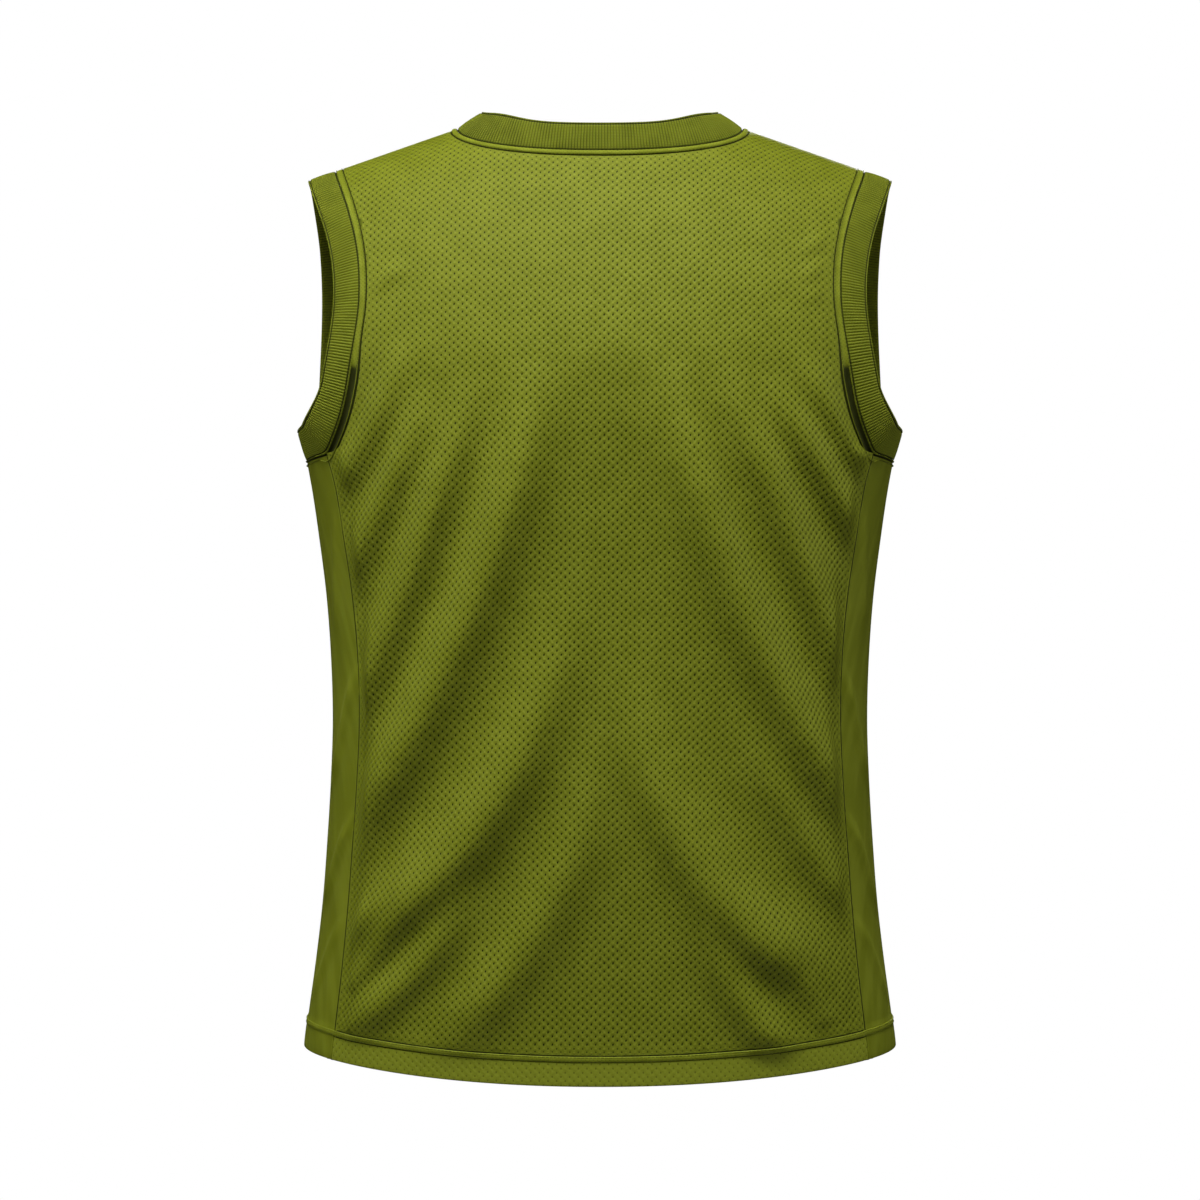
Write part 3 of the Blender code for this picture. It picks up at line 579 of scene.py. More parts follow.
def inside_panel(x, row, side):
    z = row_height(x, row)
    beside = np.abs(x) < edge_of_panel(z, side) - cover(z)
    return beside & (row < top_row(x, side)) & (z > hem_join(x))


def border(side):
    """x and row position of points along the whole edge of a panel's mesh."""
    corner_x = edge_of_panel(HEM_Z + HEM_HEIGHT, side) - SIDE_GAP
    hem_x = np.append(np.arange(0.0, corner_x, BORDER_STEP), corner_x)
    level = np.arange(hem_join(corner_x), CORNER_Z, BORDER_STEP)
    side_x = edge_of_panel(level, side) - SIDE_GAP
    arch = np.append(np.arange(CORNER_Z - ARCH_START, ARCH_TOP, BORDER_STEP), ARCH_TOP)
    arm_x = mesh_edge(arch, side)
    neck_x, neck_row = neck_edge(side)
    seam_x = np.arange(neck_x[-1], arm_x[-1], BORDER_STEP)
    x = np.concatenate([hem_x, side_x, arm_x, seam_x, neck_x])
    row = np.concatenate([hem_join(hem_x) - ARCH_START, level - ARCH_START, arch,
                          np.full(len(seam_x), ARCH_TOP), neck_row])
    return np.concatenate([x, -x]), np.concatenate([row, row])


def snap_to_border(x, row, side):
    """Moves points to the nearest place on the mesh's edge."""
    border_x, border_row = border(side)
    edge = panel_point(border_x, border_row, side)
    points = panel_point(x, row, side)
    nearest = [int(np.argmin(((edge - point) ** 2).sum(axis=1))) for point in points]
    return border_x[nearest], border_row[nearest]


# ---- eyelet mesh: a lattice of cells on the cloth ----
def measured_sheet(side):
    """x and row position at every half repeat across and up the cloth.

    Rows of the cloth run level, as arc lengths up from the hem's height, and
    columns are arc lengths out from the middle along those rows, over the folds.
    """
    x = np.linspace(-SHEET_REACH, SHEET_REACH, SHEET_SAMPLES)
    lowest = HEM_Z - HEM_DROP - STRIP - ARCH_START
    row = np.linspace(lowest, ARCH_TOP + STRIP, SHEET_SAMPLES)
    rise = lengths_along(panel_point(x[None, :], row[:, None], side), 0)
    rise = rise + row[0] + ARCH_START - HEM_Z
    half_up, half_across = REPEAT_UP / 2, REPEAT_ACROSS / 2
    up = np.arange(math.floor(rise.min() / half_up), math.floor(rise.max() / half_up))
    levels = np.stack([np.interp(up * half_up, rise[:, i], row) for i in range(len(x))], axis=1)
    length = lengths_along(on_panel(np.broadcast_to(x, levels.shape), levels, side), 1)
    length = length - length[:, len(x) // 2][:, None]
    most = math.floor(min(-length[:, 0].max(), length[:, -1].min()) / half_across)
    across = np.arange(-most, most + 1)
    x_at = np.stack([np.interp(across * half_across, length[k], x) for k in range(len(up))])
    row_at = np.stack([np.interp(x_at[k], x, levels[k]) for k in range(len(up))])
    return x_at, row_at, across, up


class Lattice:
    """The cells of one panel's mesh, and the points at their corners.

    A cell's centre is an eyelet and its four corners, east, north, west and south,
    are crossings of the threads. Corners past the panel's edge are moved onto it.
    """

    def __init__(self, side):
        x, row, across, up = measured_sheet(side)
        inside = inside_panel(x, row, side)
        k, m = np.meshgrid(np.arange(2, len(up) - 2), np.arange(2, len(across) - 2), indexing="ij")
        eyelet = (up[k] + across[m]) % 2 == 0
        k, m = k[eyelet], m[eyelet]
        corners = ((k, m + 1), (k + 1, m), (k, m - 1), (k - 1, m))
        count = sum(inside[corner].astype(int) for corner in corners)
        clear = inside[k + 2, m] & inside[k - 2, m] & inside[k, m + 2] & inside[k, m - 2]
        kept = count > 0
        self.open = (clear & (count == 4))[kept]
        self.k, self.m = k[kept], m[kept]
        corners = [(corner[0][kept], corner[1][kept]) for corner in corners]
        used = np.zeros(x.shape, bool)
        for corner in corners:
            used[corner] = True
        outside = used & ~inside
        x[outside], row[outside] = snap_to_border(x[outside], row[outside], side)
        number = np.cumsum(used).reshape(used.shape) - 1
        self.corners = [number[corner] for corner in corners]
        v, u = np.meshgrid(up * REPEAT_UP / 2, across * REPEAT_ACROSS / 2, indexing="ij")
        self.fields = (x, row, u, v)
        self.used = used
        self.at_edge = outside[used]

    def points(self):
        """x, row position, u and v at the corners."""
        return [values[self.used] for values in self.fields]

    def within(self, values, sideways, upward):
        """Values at one place inside every open cell, by shares of its half sizes."""
        k, m = self.k[self.open], self.m[self.open]
        east_west = (values[k, m + 1] - values[k, m - 1]) / 2
        north_south = (values[k + 1, m] - values[k - 1, m]) / 2
        return values[k, m] + sideways * east_west + upward * north_south

    def triangles(self, chosen):
        """Two triangles for each chosen cell."""
        east, north, west, south = (corner[chosen] for corner in self.corners)
        return np.concatenate([np.stack(t, axis=1) for t in ((east, north, south),
                                                             (north, west, south))])


def eyelet_corners():
    """The eyelet's six corners, as shares of its cell's half width and half height."""
    wide, high, lean = EYELET_HALF_WIDTH, EYELET_HALF_HEIGHT, EYELET_SLANT
    corners = ((-lean, high), (wide - lean / 3, high / 3), (wide + lean / 3, -high / 3),
               (lean, -high), (-wide + lean / 3, -high / 3), (-wide - lean / 3, high / 3))
    return [(a / (REPEAT_ACROSS / 2), b / (REPEAT_UP / 2)) for a, b in corners]


def eyelet_faces(lattice, first):
    """Faces round every eyelet. `first` is the number of the first eyelet corner."""
    count = lattice.open.sum()
    ring = [first + j * count + np.arange(count) for j in range(6)]
    east, north, west, south = (corner[lattice.open] for corner in lattice.corners)
    quads = ((east, north, ring[0], ring[1]), (south, east, ring[2], ring[3]),
             (west, south, ring[3], ring[4]), (north, west, ring[5], ring[0]))
    beside = ((east, ring[1], ring[2]), (west, ring[4], ring[5]))
    faces = np.concatenate([np.stack(quad, axis=1) for quad in quads]).tolist()
    return faces + np.concatenate([np.stack(three, axis=1) for three in beside]).tolist()


def without_slivers(points, faces):
    """Leaves out triangles with next to no area."""
    a, b, c = (points[faces[:, i]] for i in range(3))
    return faces[np.linalg.norm(np.cross(b - a, c - a), axis=1) > LEAST_AREA].tolist()


# ---- turned hem ----
def hem_profile(top):
    """Heights and offsets down the outer layer, round the fold and up the inner one."""
    turn = np.linspace(0.0, math.pi, HEM_TURN_ROWS)
    outer = np.linspace(top, HEM_RADIUS, HEM_LAYER_ROWS + 1)[:-1]
    inner = np.linspace(HEM_RADIUS, HEM_HEIGHT, HEM_LAYER_ROWS + 1)[1:]
    height = np.concatenate([outer, HEM_RADIUS * (1 - np.sin(turn)), inner])
    layer = np.ones(HEM_LAYER_ROWS)
    bend = np.concatenate([layer, np.cos(turn), -layer])
    return height, HEM_OUT + HEM_RADIUS * (bend - 1)


def way_down(height, offset):
    """Way along the folded hem, as the height that each point would have laid flat."""
    run = np.concatenate([[0.0], np.hypot(np.diff(height), np.diff(offset)).cumsum()])
    return height[0] - run


def panel_hem(side):
    """Points of the turned hem of a large panel, with their places on the cloth."""
    height, offset = hem_profile(HEM_HEIGHT - STRIP_COVER * STRIP)
    level = HEM_Z + height
    share = np.linspace(-1.0, 1.0, HEM_COLUMNS)
    x = (edge_of_panel(level, side) - SIDE_GAP)[:, None] * share
    hem = hem_below(x)
    row = hem + height[:, None] * (CORNER_Z - hem) / (CORNER_Z - HEM_Z) - ARCH_START
    points = on_panel(x, row, side, np.broadcast_to(offset[:, None], x.shape))
    length = lengths_along(panel_point(x, row, side), 1)
    u = length - length[:, HEM_COLUMNS // 2][:, None]
    v = hem + way_down(height, offset)[:, None] - HEM_Z
    return points, np.stack([u, v], axis=-1)


# ---- large panels ----
def build_panel(side, lattice, material):
    """A large panel's outer face: eyelet mesh above, turned hem below."""
    x, row, u, v = lattice.points()
    relief = np.where(lattice.at_edge, 0.0, THREAD_RISE)
    first = len(x)
    rings = [[lattice.within(values, *corner) for corner in eyelet_corners()]
             for values in lattice.fields]
    x, row, u, v = (np.concatenate([values, *ring]) for values, ring in zip((x, row, u, v), rings))
    relief = np.concatenate([relief, np.full(len(x) - first, -EYELET_SINK)])
    points = on_panel(x, row, side, relief)
    faces = without_slivers(points, lattice.triangles(~lattice.open))
    faces += eyelet_faces(lattice, first)
    hem_points, hem_uvs = panel_hem(side)
    hem_faces = np.array(grid_faces(*hem_points.shape[:2], flip=True)) + len(points)
    faces += hem_faces.tolist()
    if side > 0:
        faces = [face[::-1] for face in faces]
    points = np.concatenate([points, hem_points.reshape(-1, 3)])
    uvs = np.concatenate([np.stack([u, v], axis=1), hem_uvs.reshape(-1, 2)])
    # The turned hem is marked -1, to be painted lighter.
    painted_shade_and_light = np.where(np.arange(len(points)) < len(u), 0.0, -1.0)
    return new_piece(side_word(side) + "_cloth", points, faces, material, uvs, painted_shade_and_light)


def build_inner(side, lattice, material):
    """The unbroken inner face of the same cloth."""
    x, row, u, v = lattice.points()
    points = on_panel(x, row, side, np.full(len(x), -CLOTH_THICKNESS))
    faces = without_slivers(points, lattice.triangles(np.ones(len(lattice.open), bool)))
    if side < 0:
        faces = [face[::-1] for face in faces]
    uvs = np.stack([u, v], axis=1)
    return new_piece(side_word(side) + "_cloth_inner", points, faces, material, uvs)


# ---- side panels ----
SIDE_ROWS = 200
SIDE_COLUMNS = 81
# Ridges down a side panel: heights of the top and the bottom above the hem, places
# round the side at both, where 1 is the side seam, and the ridge's height.
CREASES = (
    (0.300, 0.190, 1.00, 0.34, 0.0030),
    (0.190, 0.098, 1.00, 0.34, 0.0030),
    (0.110, 0.032, 0.95, 0.34, 0.0020),
    (0.420, 0.310, 0.95, 0.50, 0.0015),
)
CREASE_HALF_WIDTH = 0.085  # as a share of half the side
CREASE_FADE = 0.3          # share of a ridge's length over which each end dies out


def side_creases(at, low):
    """Height of the ridges at places round a side, the same behind the arm and before it."""
    lift = np.zeros(np.broadcast(at, low).shape)
    for top, bottom, start, end, rise in CREASES:
        share = (top - low) / (top - bottom)
        middle = start + (end - start) * share
        fade = smoothstep(0.0, CREASE_FADE, share) * smoothstep(1.0, 1.0 - CREASE_FADE, share)
        lift += rise * fade * np.exp(-(((np.abs(at) - middle) / CREASE_HALF_WIDTH) ** 2))
    return lift


def build_side(sign, material):
    """A side panel from its turned hem to the strip at the armhole."""
    height, offset = hem_profile(HEM_HEIGHT)
    top = CORNER_Z - HEM_Z - UNDERARM_COVER
    rise = np.linspace(HEM_HEIGHT, top, SIDE_ROWS)[:0:-1]
    low = np.concatenate([rise, height])
    out = np.concatenate([np.full(len(rise), 0.0), offset])
    at = np.sin(np.linspace(-1.0, 1.0, SIDE_COLUMNS) * math.pi / 2)
    angle = seam_angle(HEM_Z + low)[:, None] * at
    level = np.repeat(HEM_Z + low[:, None], SIDE_COLUMNS, axis=1)
    points = side_ring(angle, level, sign)
    u = lengths_along(points, 1)
    u = u - u[:, SIDE_COLUMNS // 2][:, None]
    points[..., 2] -= UNDERARM_SCOOP * smoothstep(SCOOP_START, 1.0, low / top)[:, None] * (1 - at**2)
    lift = out[:, None] + side_creases(at, low[:, None])
    points = points + side_normal(angle, level, sign) * lift[..., None]
    v = np.broadcast_to(way_down(low, out)[:, None], u.shape)
    faces = grid_faces(len(low), SIDE_COLUMNS, flip=sign > 0)
    name = "side_cloth_" + hand(sign)
    return new_piece(name, points, faces, material, np.stack([u, v], axis=-1))


# ---- loops: the neck, the armholes and the hem ----
def blur_loop(values, share):
    """Values round a closed loop, softened over a share of its length."""
    count = len(values)
    wave = np.fft.rfftfreq(count)[:, None] * count
    soften = np.exp(-2 * (math.pi * share * wave) ** 2)
    return np.fft.irfft(np.fft.rfft(values, axis=0) * soften, n=count, axis=0)


def even_loop(points, values, count):
    """The loop's points and values again, at `count` places an equal length apart."""
    run = lengths_along(np.vstack([points, points[:1]]), 0)
    at = np.arange(count) * run[-1] / count
    both = np.hstack([points, values])
    both = np.vstack([both, both[:1]])
    out = np.stack([np.interp(at, run, both[:, i]) for i in range(both.shape[1])], axis=1)
    return out[:, :3], out[:, 3:]


def panel_line(x, row, side):
    """A line on a panel: each place's point, then its normal."""
    return np.hstack([panel_point(x, row, side), panel_normal(x, row, side)])


def side_line(angle, level, sign):
    """A line on a side: each place's point, then its normal."""
    return np.hstack([side_ring(angle, level, sign), side_normal(angle, level, sign)])


def neck_loop():
    """Line of the neck seam, from the wearer's right round the back."""
    turn = np.linspace(-math.pi / 2, math.pi / 2, NECK_SAMPLES + 1)[:-1]
    line = []
    for side in (1, -1):
        x, angle = neck_angles(np.abs(turn), side)
        row = np.minimum(angle * ARCH_REACH, ARCH_TOP)
        line.append(panel_line(side * np.sign(turn) * x, row, side))
    return np.vstack(line)


def armhole_loop(sign):
    """Line of an armhole: up the back, down the front, underneath."""
    rows = np.linspace(CORNER_Z - ARCH_START, ARCH_TOP, ARMHOLE_SAMPLES)
    line = []
    for side in (1, -1):
        order = slice(None, -1) if side > 0 else slice(None, None, -1)
        line.append(panel_line(sign * armhole_edge(rows, side), rows, side)[order])
    at = np.linspace(-1.0, 1.0, UNDERARM_SAMPLES + 2)[1:-1]
    level = np.full(len(at), CORNER_Z - SIDE_GAP)
    under = side_line(seam_angle(level) * at, level, sign)
    under[:, 2] -= UNDERARM_SCOOP * (1 - at**2)
    return np.vstack([*line, under])


def hem_loop(height):
    """Line round the body, over the folds, this far above the hem's edge."""
    level = HEM_Z + height
    line = []
    for side in (1, -1):
        x = np.linspace(1.0, -1.0, HEM_SAMPLES)[:-1] * side * edge_of_panel(level, side)
        row = hem_below(x) + height - ARCH_START
        line.append(np.hstack([on_panel(x, row, side), panel_normal(x, row, side)]))
        at = np.linspace(1.0, -1.0, UNDERARM_SAMPLES)[:-1] * side
        around = np.full(len(at), level)
        line.append(side_line(seam_angle(around) * at, around, -side))
    return np.vstack(line)


def side_seam(sign, side):
    """Line down a side seam, from the armhole to the hem."""
    level = np.linspace(CORNER_Z - 0.5 * STRIP, HEM_Z, SEAM_POINTS)
    row = seam_heights(level, side) - ARCH_START
    return panel_line(sign * edge_of_panel(level, side), row, side)


def second_seam(sign, side):
    """The second line in the hem, beside the side seam on the side panel."""
    level = np.linspace(HEM_Z + HEM_HEIGHT, HEM_Z, SEAM_POINTS // 4)
    angle = side * (seam_angle(level) - SECOND_SEAM / half_depth(HEM_Z, side))
    return side_line(angle, level, sign)


def seam_heights(level, side):
    """Heights of a side seam's points: levels below the hem strip follow the hem."""
    hem = hem_height(edge_of_panel(HEM_Z, side) / half_width(HEM_Z, side))
    return hem + (level - HEM_Z) * (CORNER_Z - hem) / (CORNER_Z - HEM_Z)


class Loop:
    """A softened closed line with its normals and its directions to the opening."""

    def __init__(self, line, blur, opening=None):
        normals = line[:, 3:]
        given = normals if opening is None else opening
        points, values = even_loop(line[:, :3], np.hstack([normals, given]), LOOP_POINTS)
        self.points, values = blur_loop(points, blur), blur_loop(values, blur)
        normals, given = values[:, :3], values[:, 3:]
        tangent = unit(np.roll(self.points, -1, axis=0) - np.roll(self.points, 1, axis=0))
        self.normals = unit(normals - tangent * (normals * tangent).sum(axis=1, keepdims=True))
        self.opening = unit(np.cross(self.normals, tangent)) if opening is None else given
        if ((self.points.mean(axis=0) - self.points) * self.opening).sum() < 0 and opening is None:
            self.opening = -self.opening
        self.length = lengths_along(np.vstack([self.points, self.points[:1]]), 0)
        self.closed = True


class Seam:
    """An open line with its normals and its directions across."""

    def __init__(self, line):
        self.points, self.normals = line[:, :3], line[:, 3:]
        self.opening = unit(np.cross(self.normals, np.gradient(self.points, axis=0)))
        self.length = np.append(lengths_along(self.points, 0), 0.0)
        self.closed = False


# ---- rib bands ----
# Section of a band from its seam to its free edge and back inside: way from the seam,
# or from the free edge where it is negative, height, share of the ribs' height, and
# how much painted shade it gets at the seams and inside the band.
BAND_SECTION = (
    (0.0000, -0.0007, 0.0, 1.0), (0.0005, -0.0002, 0.0, 1.0), (0.0009, 0.0000, 0.4, 0.8),
    (0.0013, 0.0002, 1.0, 0.0), (0.0040, 0.0005, 1.0, 0.0), (0.0080, 0.0007, 1.0, 0.0),
    (0.0130, 0.0006, 1.0, 0.0), (0.0180, 0.0003, 1.0, 0.0), (-0.0028, 0.0001, 1.0, 0.0),
    (-0.0024, -0.0001, 0.6, 0.3), (-0.0019, -0.0005, 0.0, 1.0), (-0.0014, -0.0003, 0.0, 0.8),
    (-0.0010, 0.0002, 0.0, 0.0), (-0.0003, -0.0003, 0.0, 0.0), (-0.0000, -0.0010, 0.0, 0.0),
    (-0.0004, -0.0019, 0.0, 0.0), (-0.0020, -0.0021, -0.6, 0.0), (-0.0060, -0.0020, -0.9, 0.2),
    (0.0120, -0.0018, -0.9, 0.3), (0.0060, -0.0018, -0.9, 0.3), (0.0002, -0.0020, -0.9, 0.3),
)


def build_band(name, loop, width, lean, reach, material):
    """A ribbed band along a loop, leaning out by `lean` radians.

    `reach` says how far its free edge is drawn out at each of the loop's points.
    """
    lean = (np.ones(LOOP_POINTS) * lean)[:, None]
    way = np.cos(lean) * loop.opening + np.sin(lean) * loop.normals
    free = blur_loop(loop.points + width * way, BAND_TURN) + reach
    way = (free - loop.points) / width
    facing = loop.normals - way * (loop.normals * way).sum(axis=1, keepdims=True)
    count = round(loop.length[-1] / RIB_PITCH) * COLUMNS_PER_RIB
    base, rest = even_loop(loop.points, np.hstack([way, facing]), count)
    way, facing = rest[:, :3], unit(rest[:, 3:])
    phase = np.arange(count) / COLUMNS_PER_RIB
    rib = RIB_RISE * (np.abs(np.cos(math.pi * phase)) - RIB_LEVEL)
    along, height, ribs, painted_shade_and_light = np.array(BAND_SECTION).T
    along = np.where(np.signbit(along), width + along, along)
    lift = height[:, None] + ribs[:, None] * rib
    grid = base + along[:, None, None] * way + lift[..., None] * facing
    run = np.concatenate([[0.0], np.hypot(np.diff(along), np.diff(height)).cumsum()])
    u = np.broadcast_to(np.arange(count) * loop.length[-1] / count, lift.shape)
    v = np.broadcast_to(run[:, None], lift.shape)
    faces = grid_faces(len(along), count, closed=True)
    # Painted shade at the seams and inside the band.
    painted_shade_and_light = np.broadcast_to(painted_shade_and_light[:, None], lift.shape)
    return new_piece(name, grid, faces, material, np.stack([u, v], axis=-1), painted_shade_and_light)


def armband_flare(points):
    """Radians that an armband flares out at each point of its seam."""
    heights, back, front = np.array(FLARE).T
    z = points[:, 2]
    towards_back = smoothstep(-FLARE_TURN, FLARE_TURN, points[:, 1])
    degrees = towards_back * np.interp(z, heights, back)
    degrees = degrees + (1 - towards_back) * np.interp(z, heights, front)
    return np.radians(degrees)


def armband_reach(points, sign):
    """How far an armband's free edge is drawn out sideways at each point of its seam."""
    low = smoothstep(REACH_TOP, REACH_FULL, points[:, 2])
    away = smoothstep(0.0, REACH_DEPTH, np.abs(points[:, 1]))
    high = smoothstep(*SHOULDER_REACH_HEIGHTS, points[:, 2])[:, None]
    out = (ARMBAND_REACH * low * away)[:, None] * np.array([1.0, 0.0, 0.0])
    return (out + high * SHOULDER_REACH) * np.array([sign, 1.0, 1.0])


# ---- strips beside the seams ----
class Strip:
    """A strip along a line, on the side away from the opening."""

    def __init__(self, line, section, width=STRIP, recess=0.0):
        share, height, sunk, dark = (column[:, None] for column in np.array(section).T)
        even = np.ones(len(line.points))
        self.line = line
        self.across = share * width * even
        sunk = sunk * recess * even
        # Painted shade where the strip sinks in and in the seams' grooves.
        self.painted_shade_and_light = np.maximum(sunk / RECESS, dark * even)
        lift = height - sunk
        self.grid = (line.points - self.across[..., None] * line.opening
                     + lift[..., None] * line.normals)

    def build(self, name, material):
        rows, columns = self.across.shape
        u = np.broadcast_to(self.line.length[:-1], self.across.shape)
        faces = grid_faces(rows, columns, closed=self.line.closed, flip=True)
        uvs = np.stack([u, self.across], axis=-1)
        return new_piece(name, self.grid, faces, material, uvs, self.painted_shade_and_light)


def armhole_strip(loop):
    """The strip beside an armhole: a channel that sinks in towards the arm's underside."""
    _, y, z = loop.points.T
    seam = panel_point(edge_of_panel(CORNER_Z, 1), CORNER_Z - ARCH_START, 1)[1]
    start, end = (seam + turn for turn in UNDERARM_TURN)
    under = smoothstep(start, end, np.abs(y)) * (z < CORNER_Z + STRIP)
    width = strip_width(z)
    width = width + under * (UNDERARM_STRIP - width)
    recess = RECESS * smoothstep(RECESS_TOP, RECESS_FULL, z) * (1 - under * (1 - UNDERARM_RECESS))
    return Strip(loop, CHANNEL, width, recess)


def build_shoulder_strip(sign, material):
    """A flat strip over a shoulder seam, from the neck strip to the armhole's."""
    way = np.linspace(-1.0, 1.0, SHOULDER_ROWS)
    end = mesh_edge(np.array([ARCH_TOP]), 1)[0]
    x = sign * np.linspace(NECK_HALF_WIDTH + 0.5 * STRIP, end, SHOULDER_COLUMNS)
    rise = SHOULDER_RISE * (1 - way**SHOULDER_SQUARENESS) - CLOTH_THICKNESS / 4
    rows = []
    for place, lift in zip(way, rise):
        side = 1 if place > 0 else -1
        row = np.full(len(x), ARCH_TOP - abs(place) * SHOULDER_STRIP)
        rows.append(panel_point(x, row, side) + lift * panel_normal(x, row, side))
    u, v = np.meshgrid(np.abs(x), way * SHOULDER_STRIP)
    faces = grid_faces(len(way), len(x), flip=sign > 0)
    uvs = np.stack([u, v], axis=-1)
    return new_piece("shoulder_strip_" + hand(sign), np.stack(rows), faces, material, uvs)


# ---- stitches ----
def build_stitches(name, rows, material):
    """Short round stitches end to end along rows of (line, normals), closed loops all."""
    turn = np.arange(STITCH_SIDES) * 2 * math.pi / STITCH_SIDES
    points, faces, uvs = [], [], []
    for line, normals in rows:
        count = round(lengths_along(np.vstack([line, line[:1]]), 0)[-1] / STITCH_PITCH)
        base, up = even_loop(line, normals, count)
        up = unit(up)
        along = unit(np.roll(base, -1, axis=0) - np.roll(base, 1, axis=0))
        beside = unit(np.cross(up, along))
        for at, size in STITCH_RINGS:
            arch = STITCH_ARCH * STITCH_RADIUS * (1 - at**2)
            centre = base + along * at * STITCH_LENGTH / 2 + up * arch
            for angle in turn:
                out = math.cos(angle) * beside + math.sin(angle) * up
                points.append(centre + out * STITCH_RADIUS * size)
                uvs.append(np.stack([np.full(count, at), np.arange(count) * 1.0], axis=1))
        first = sum(len(part) for part in points) - count * len(STITCH_RINGS) * STITCH_SIDES
        faces += stitch_faces(first, count)
    return new_piece(name, np.concatenate(points), faces, material, np.concatenate(uvs))


def stitch_faces(first, count):
    """Quads and end caps of `count` stitches whose points are numbered from `first`."""
    rings = len(STITCH_RINGS)
    number = first + np.arange(rings * STITCH_SIDES * count).reshape(rings, STITCH_SIDES, count)
    after = np.roll(number, -1, axis=1)
    quads = np.stack([number[:-1], after[:-1], after[1:], number[1:]], axis=-1).reshape(-1, 4)
    start = number[0, ::-1].T
    end = number[-1].T
    return quads.tolist() + start.tolist() + end.tolist()


# ---- materials ----
OLIVE = (0.232, 0.269, 0.013, 1.0)
OLIVE_DARK = (0.062, 0.074, 0.005, 1.0)
OLIVE_LIGHT = (0.325, 0.372, 0.028, 1.0)
# Painted shade: a near-black that stands in for the shade in holes, seam grooves and recesses.
PAINTED_SHADE = (0.010, 0.012, 0.002, 1.0)
WALE = 0.0009              # width of one wale of the knit
COURSE = 0.0011
RIB_STITCH = 0.0013        # length of one stitch along a rib
SHEEN_ROUGHNESS = 0.45
SHEEN_TINT = (0.75, 0.85, 0.10, 1.0)
SPECULAR = 0.35
SPECULAR_TINT = (0.85, 0.95, 0.35, 1.0)
# Roughness, sheen, and depth of the fine relief in metres.
MESH_FINISH = (0.50, 0.08, 0.00035)
SIDE_FINISH = (0.50, 0.08, 0.0003)
STRIP_FINISH = (0.60, 0.12, 0.0002)
RIB_FINISH = (0.70, 0.12, 0.00015)
THREAD_FINISH = (0.50, 0.10, 0.00008)
# Noise, in waves to a metre of cloth.
GRAIN = 900.0
MESH_CLOUD = 38.0
SIDE_CLOUD = 110.0
STRIP_CLOUD = 90.0
RIB_CLOUD = 60.0
CLOUDY = (0.3, 0.7)        # from no paler to all of it, as a cloud's noise goes up
STREAK = 0.35              # noise along a diagonal is squeezed to this share
RIM = (0.58, 0.86)         # where the painted shade round an eyelet starts and where it is complete
CROSSING = (-0.30, -1.0)   # the same for the painted highlights on the threads' crossings
SIDE_SLANT = (0.8, 0.25)   # the side panels' streaks run aslant, by u and by v
SIDE_STRETCH = 0.12        # and are drawn out upward to this share
THREAD_TWIST = 14.0        # radians from the middle of a stitch to its end
FLOOR_CLOUD = 3.0
FLOOR_SHADES = (0.78, 0.82)
FLOOR_ROUGHNESS = 0.9


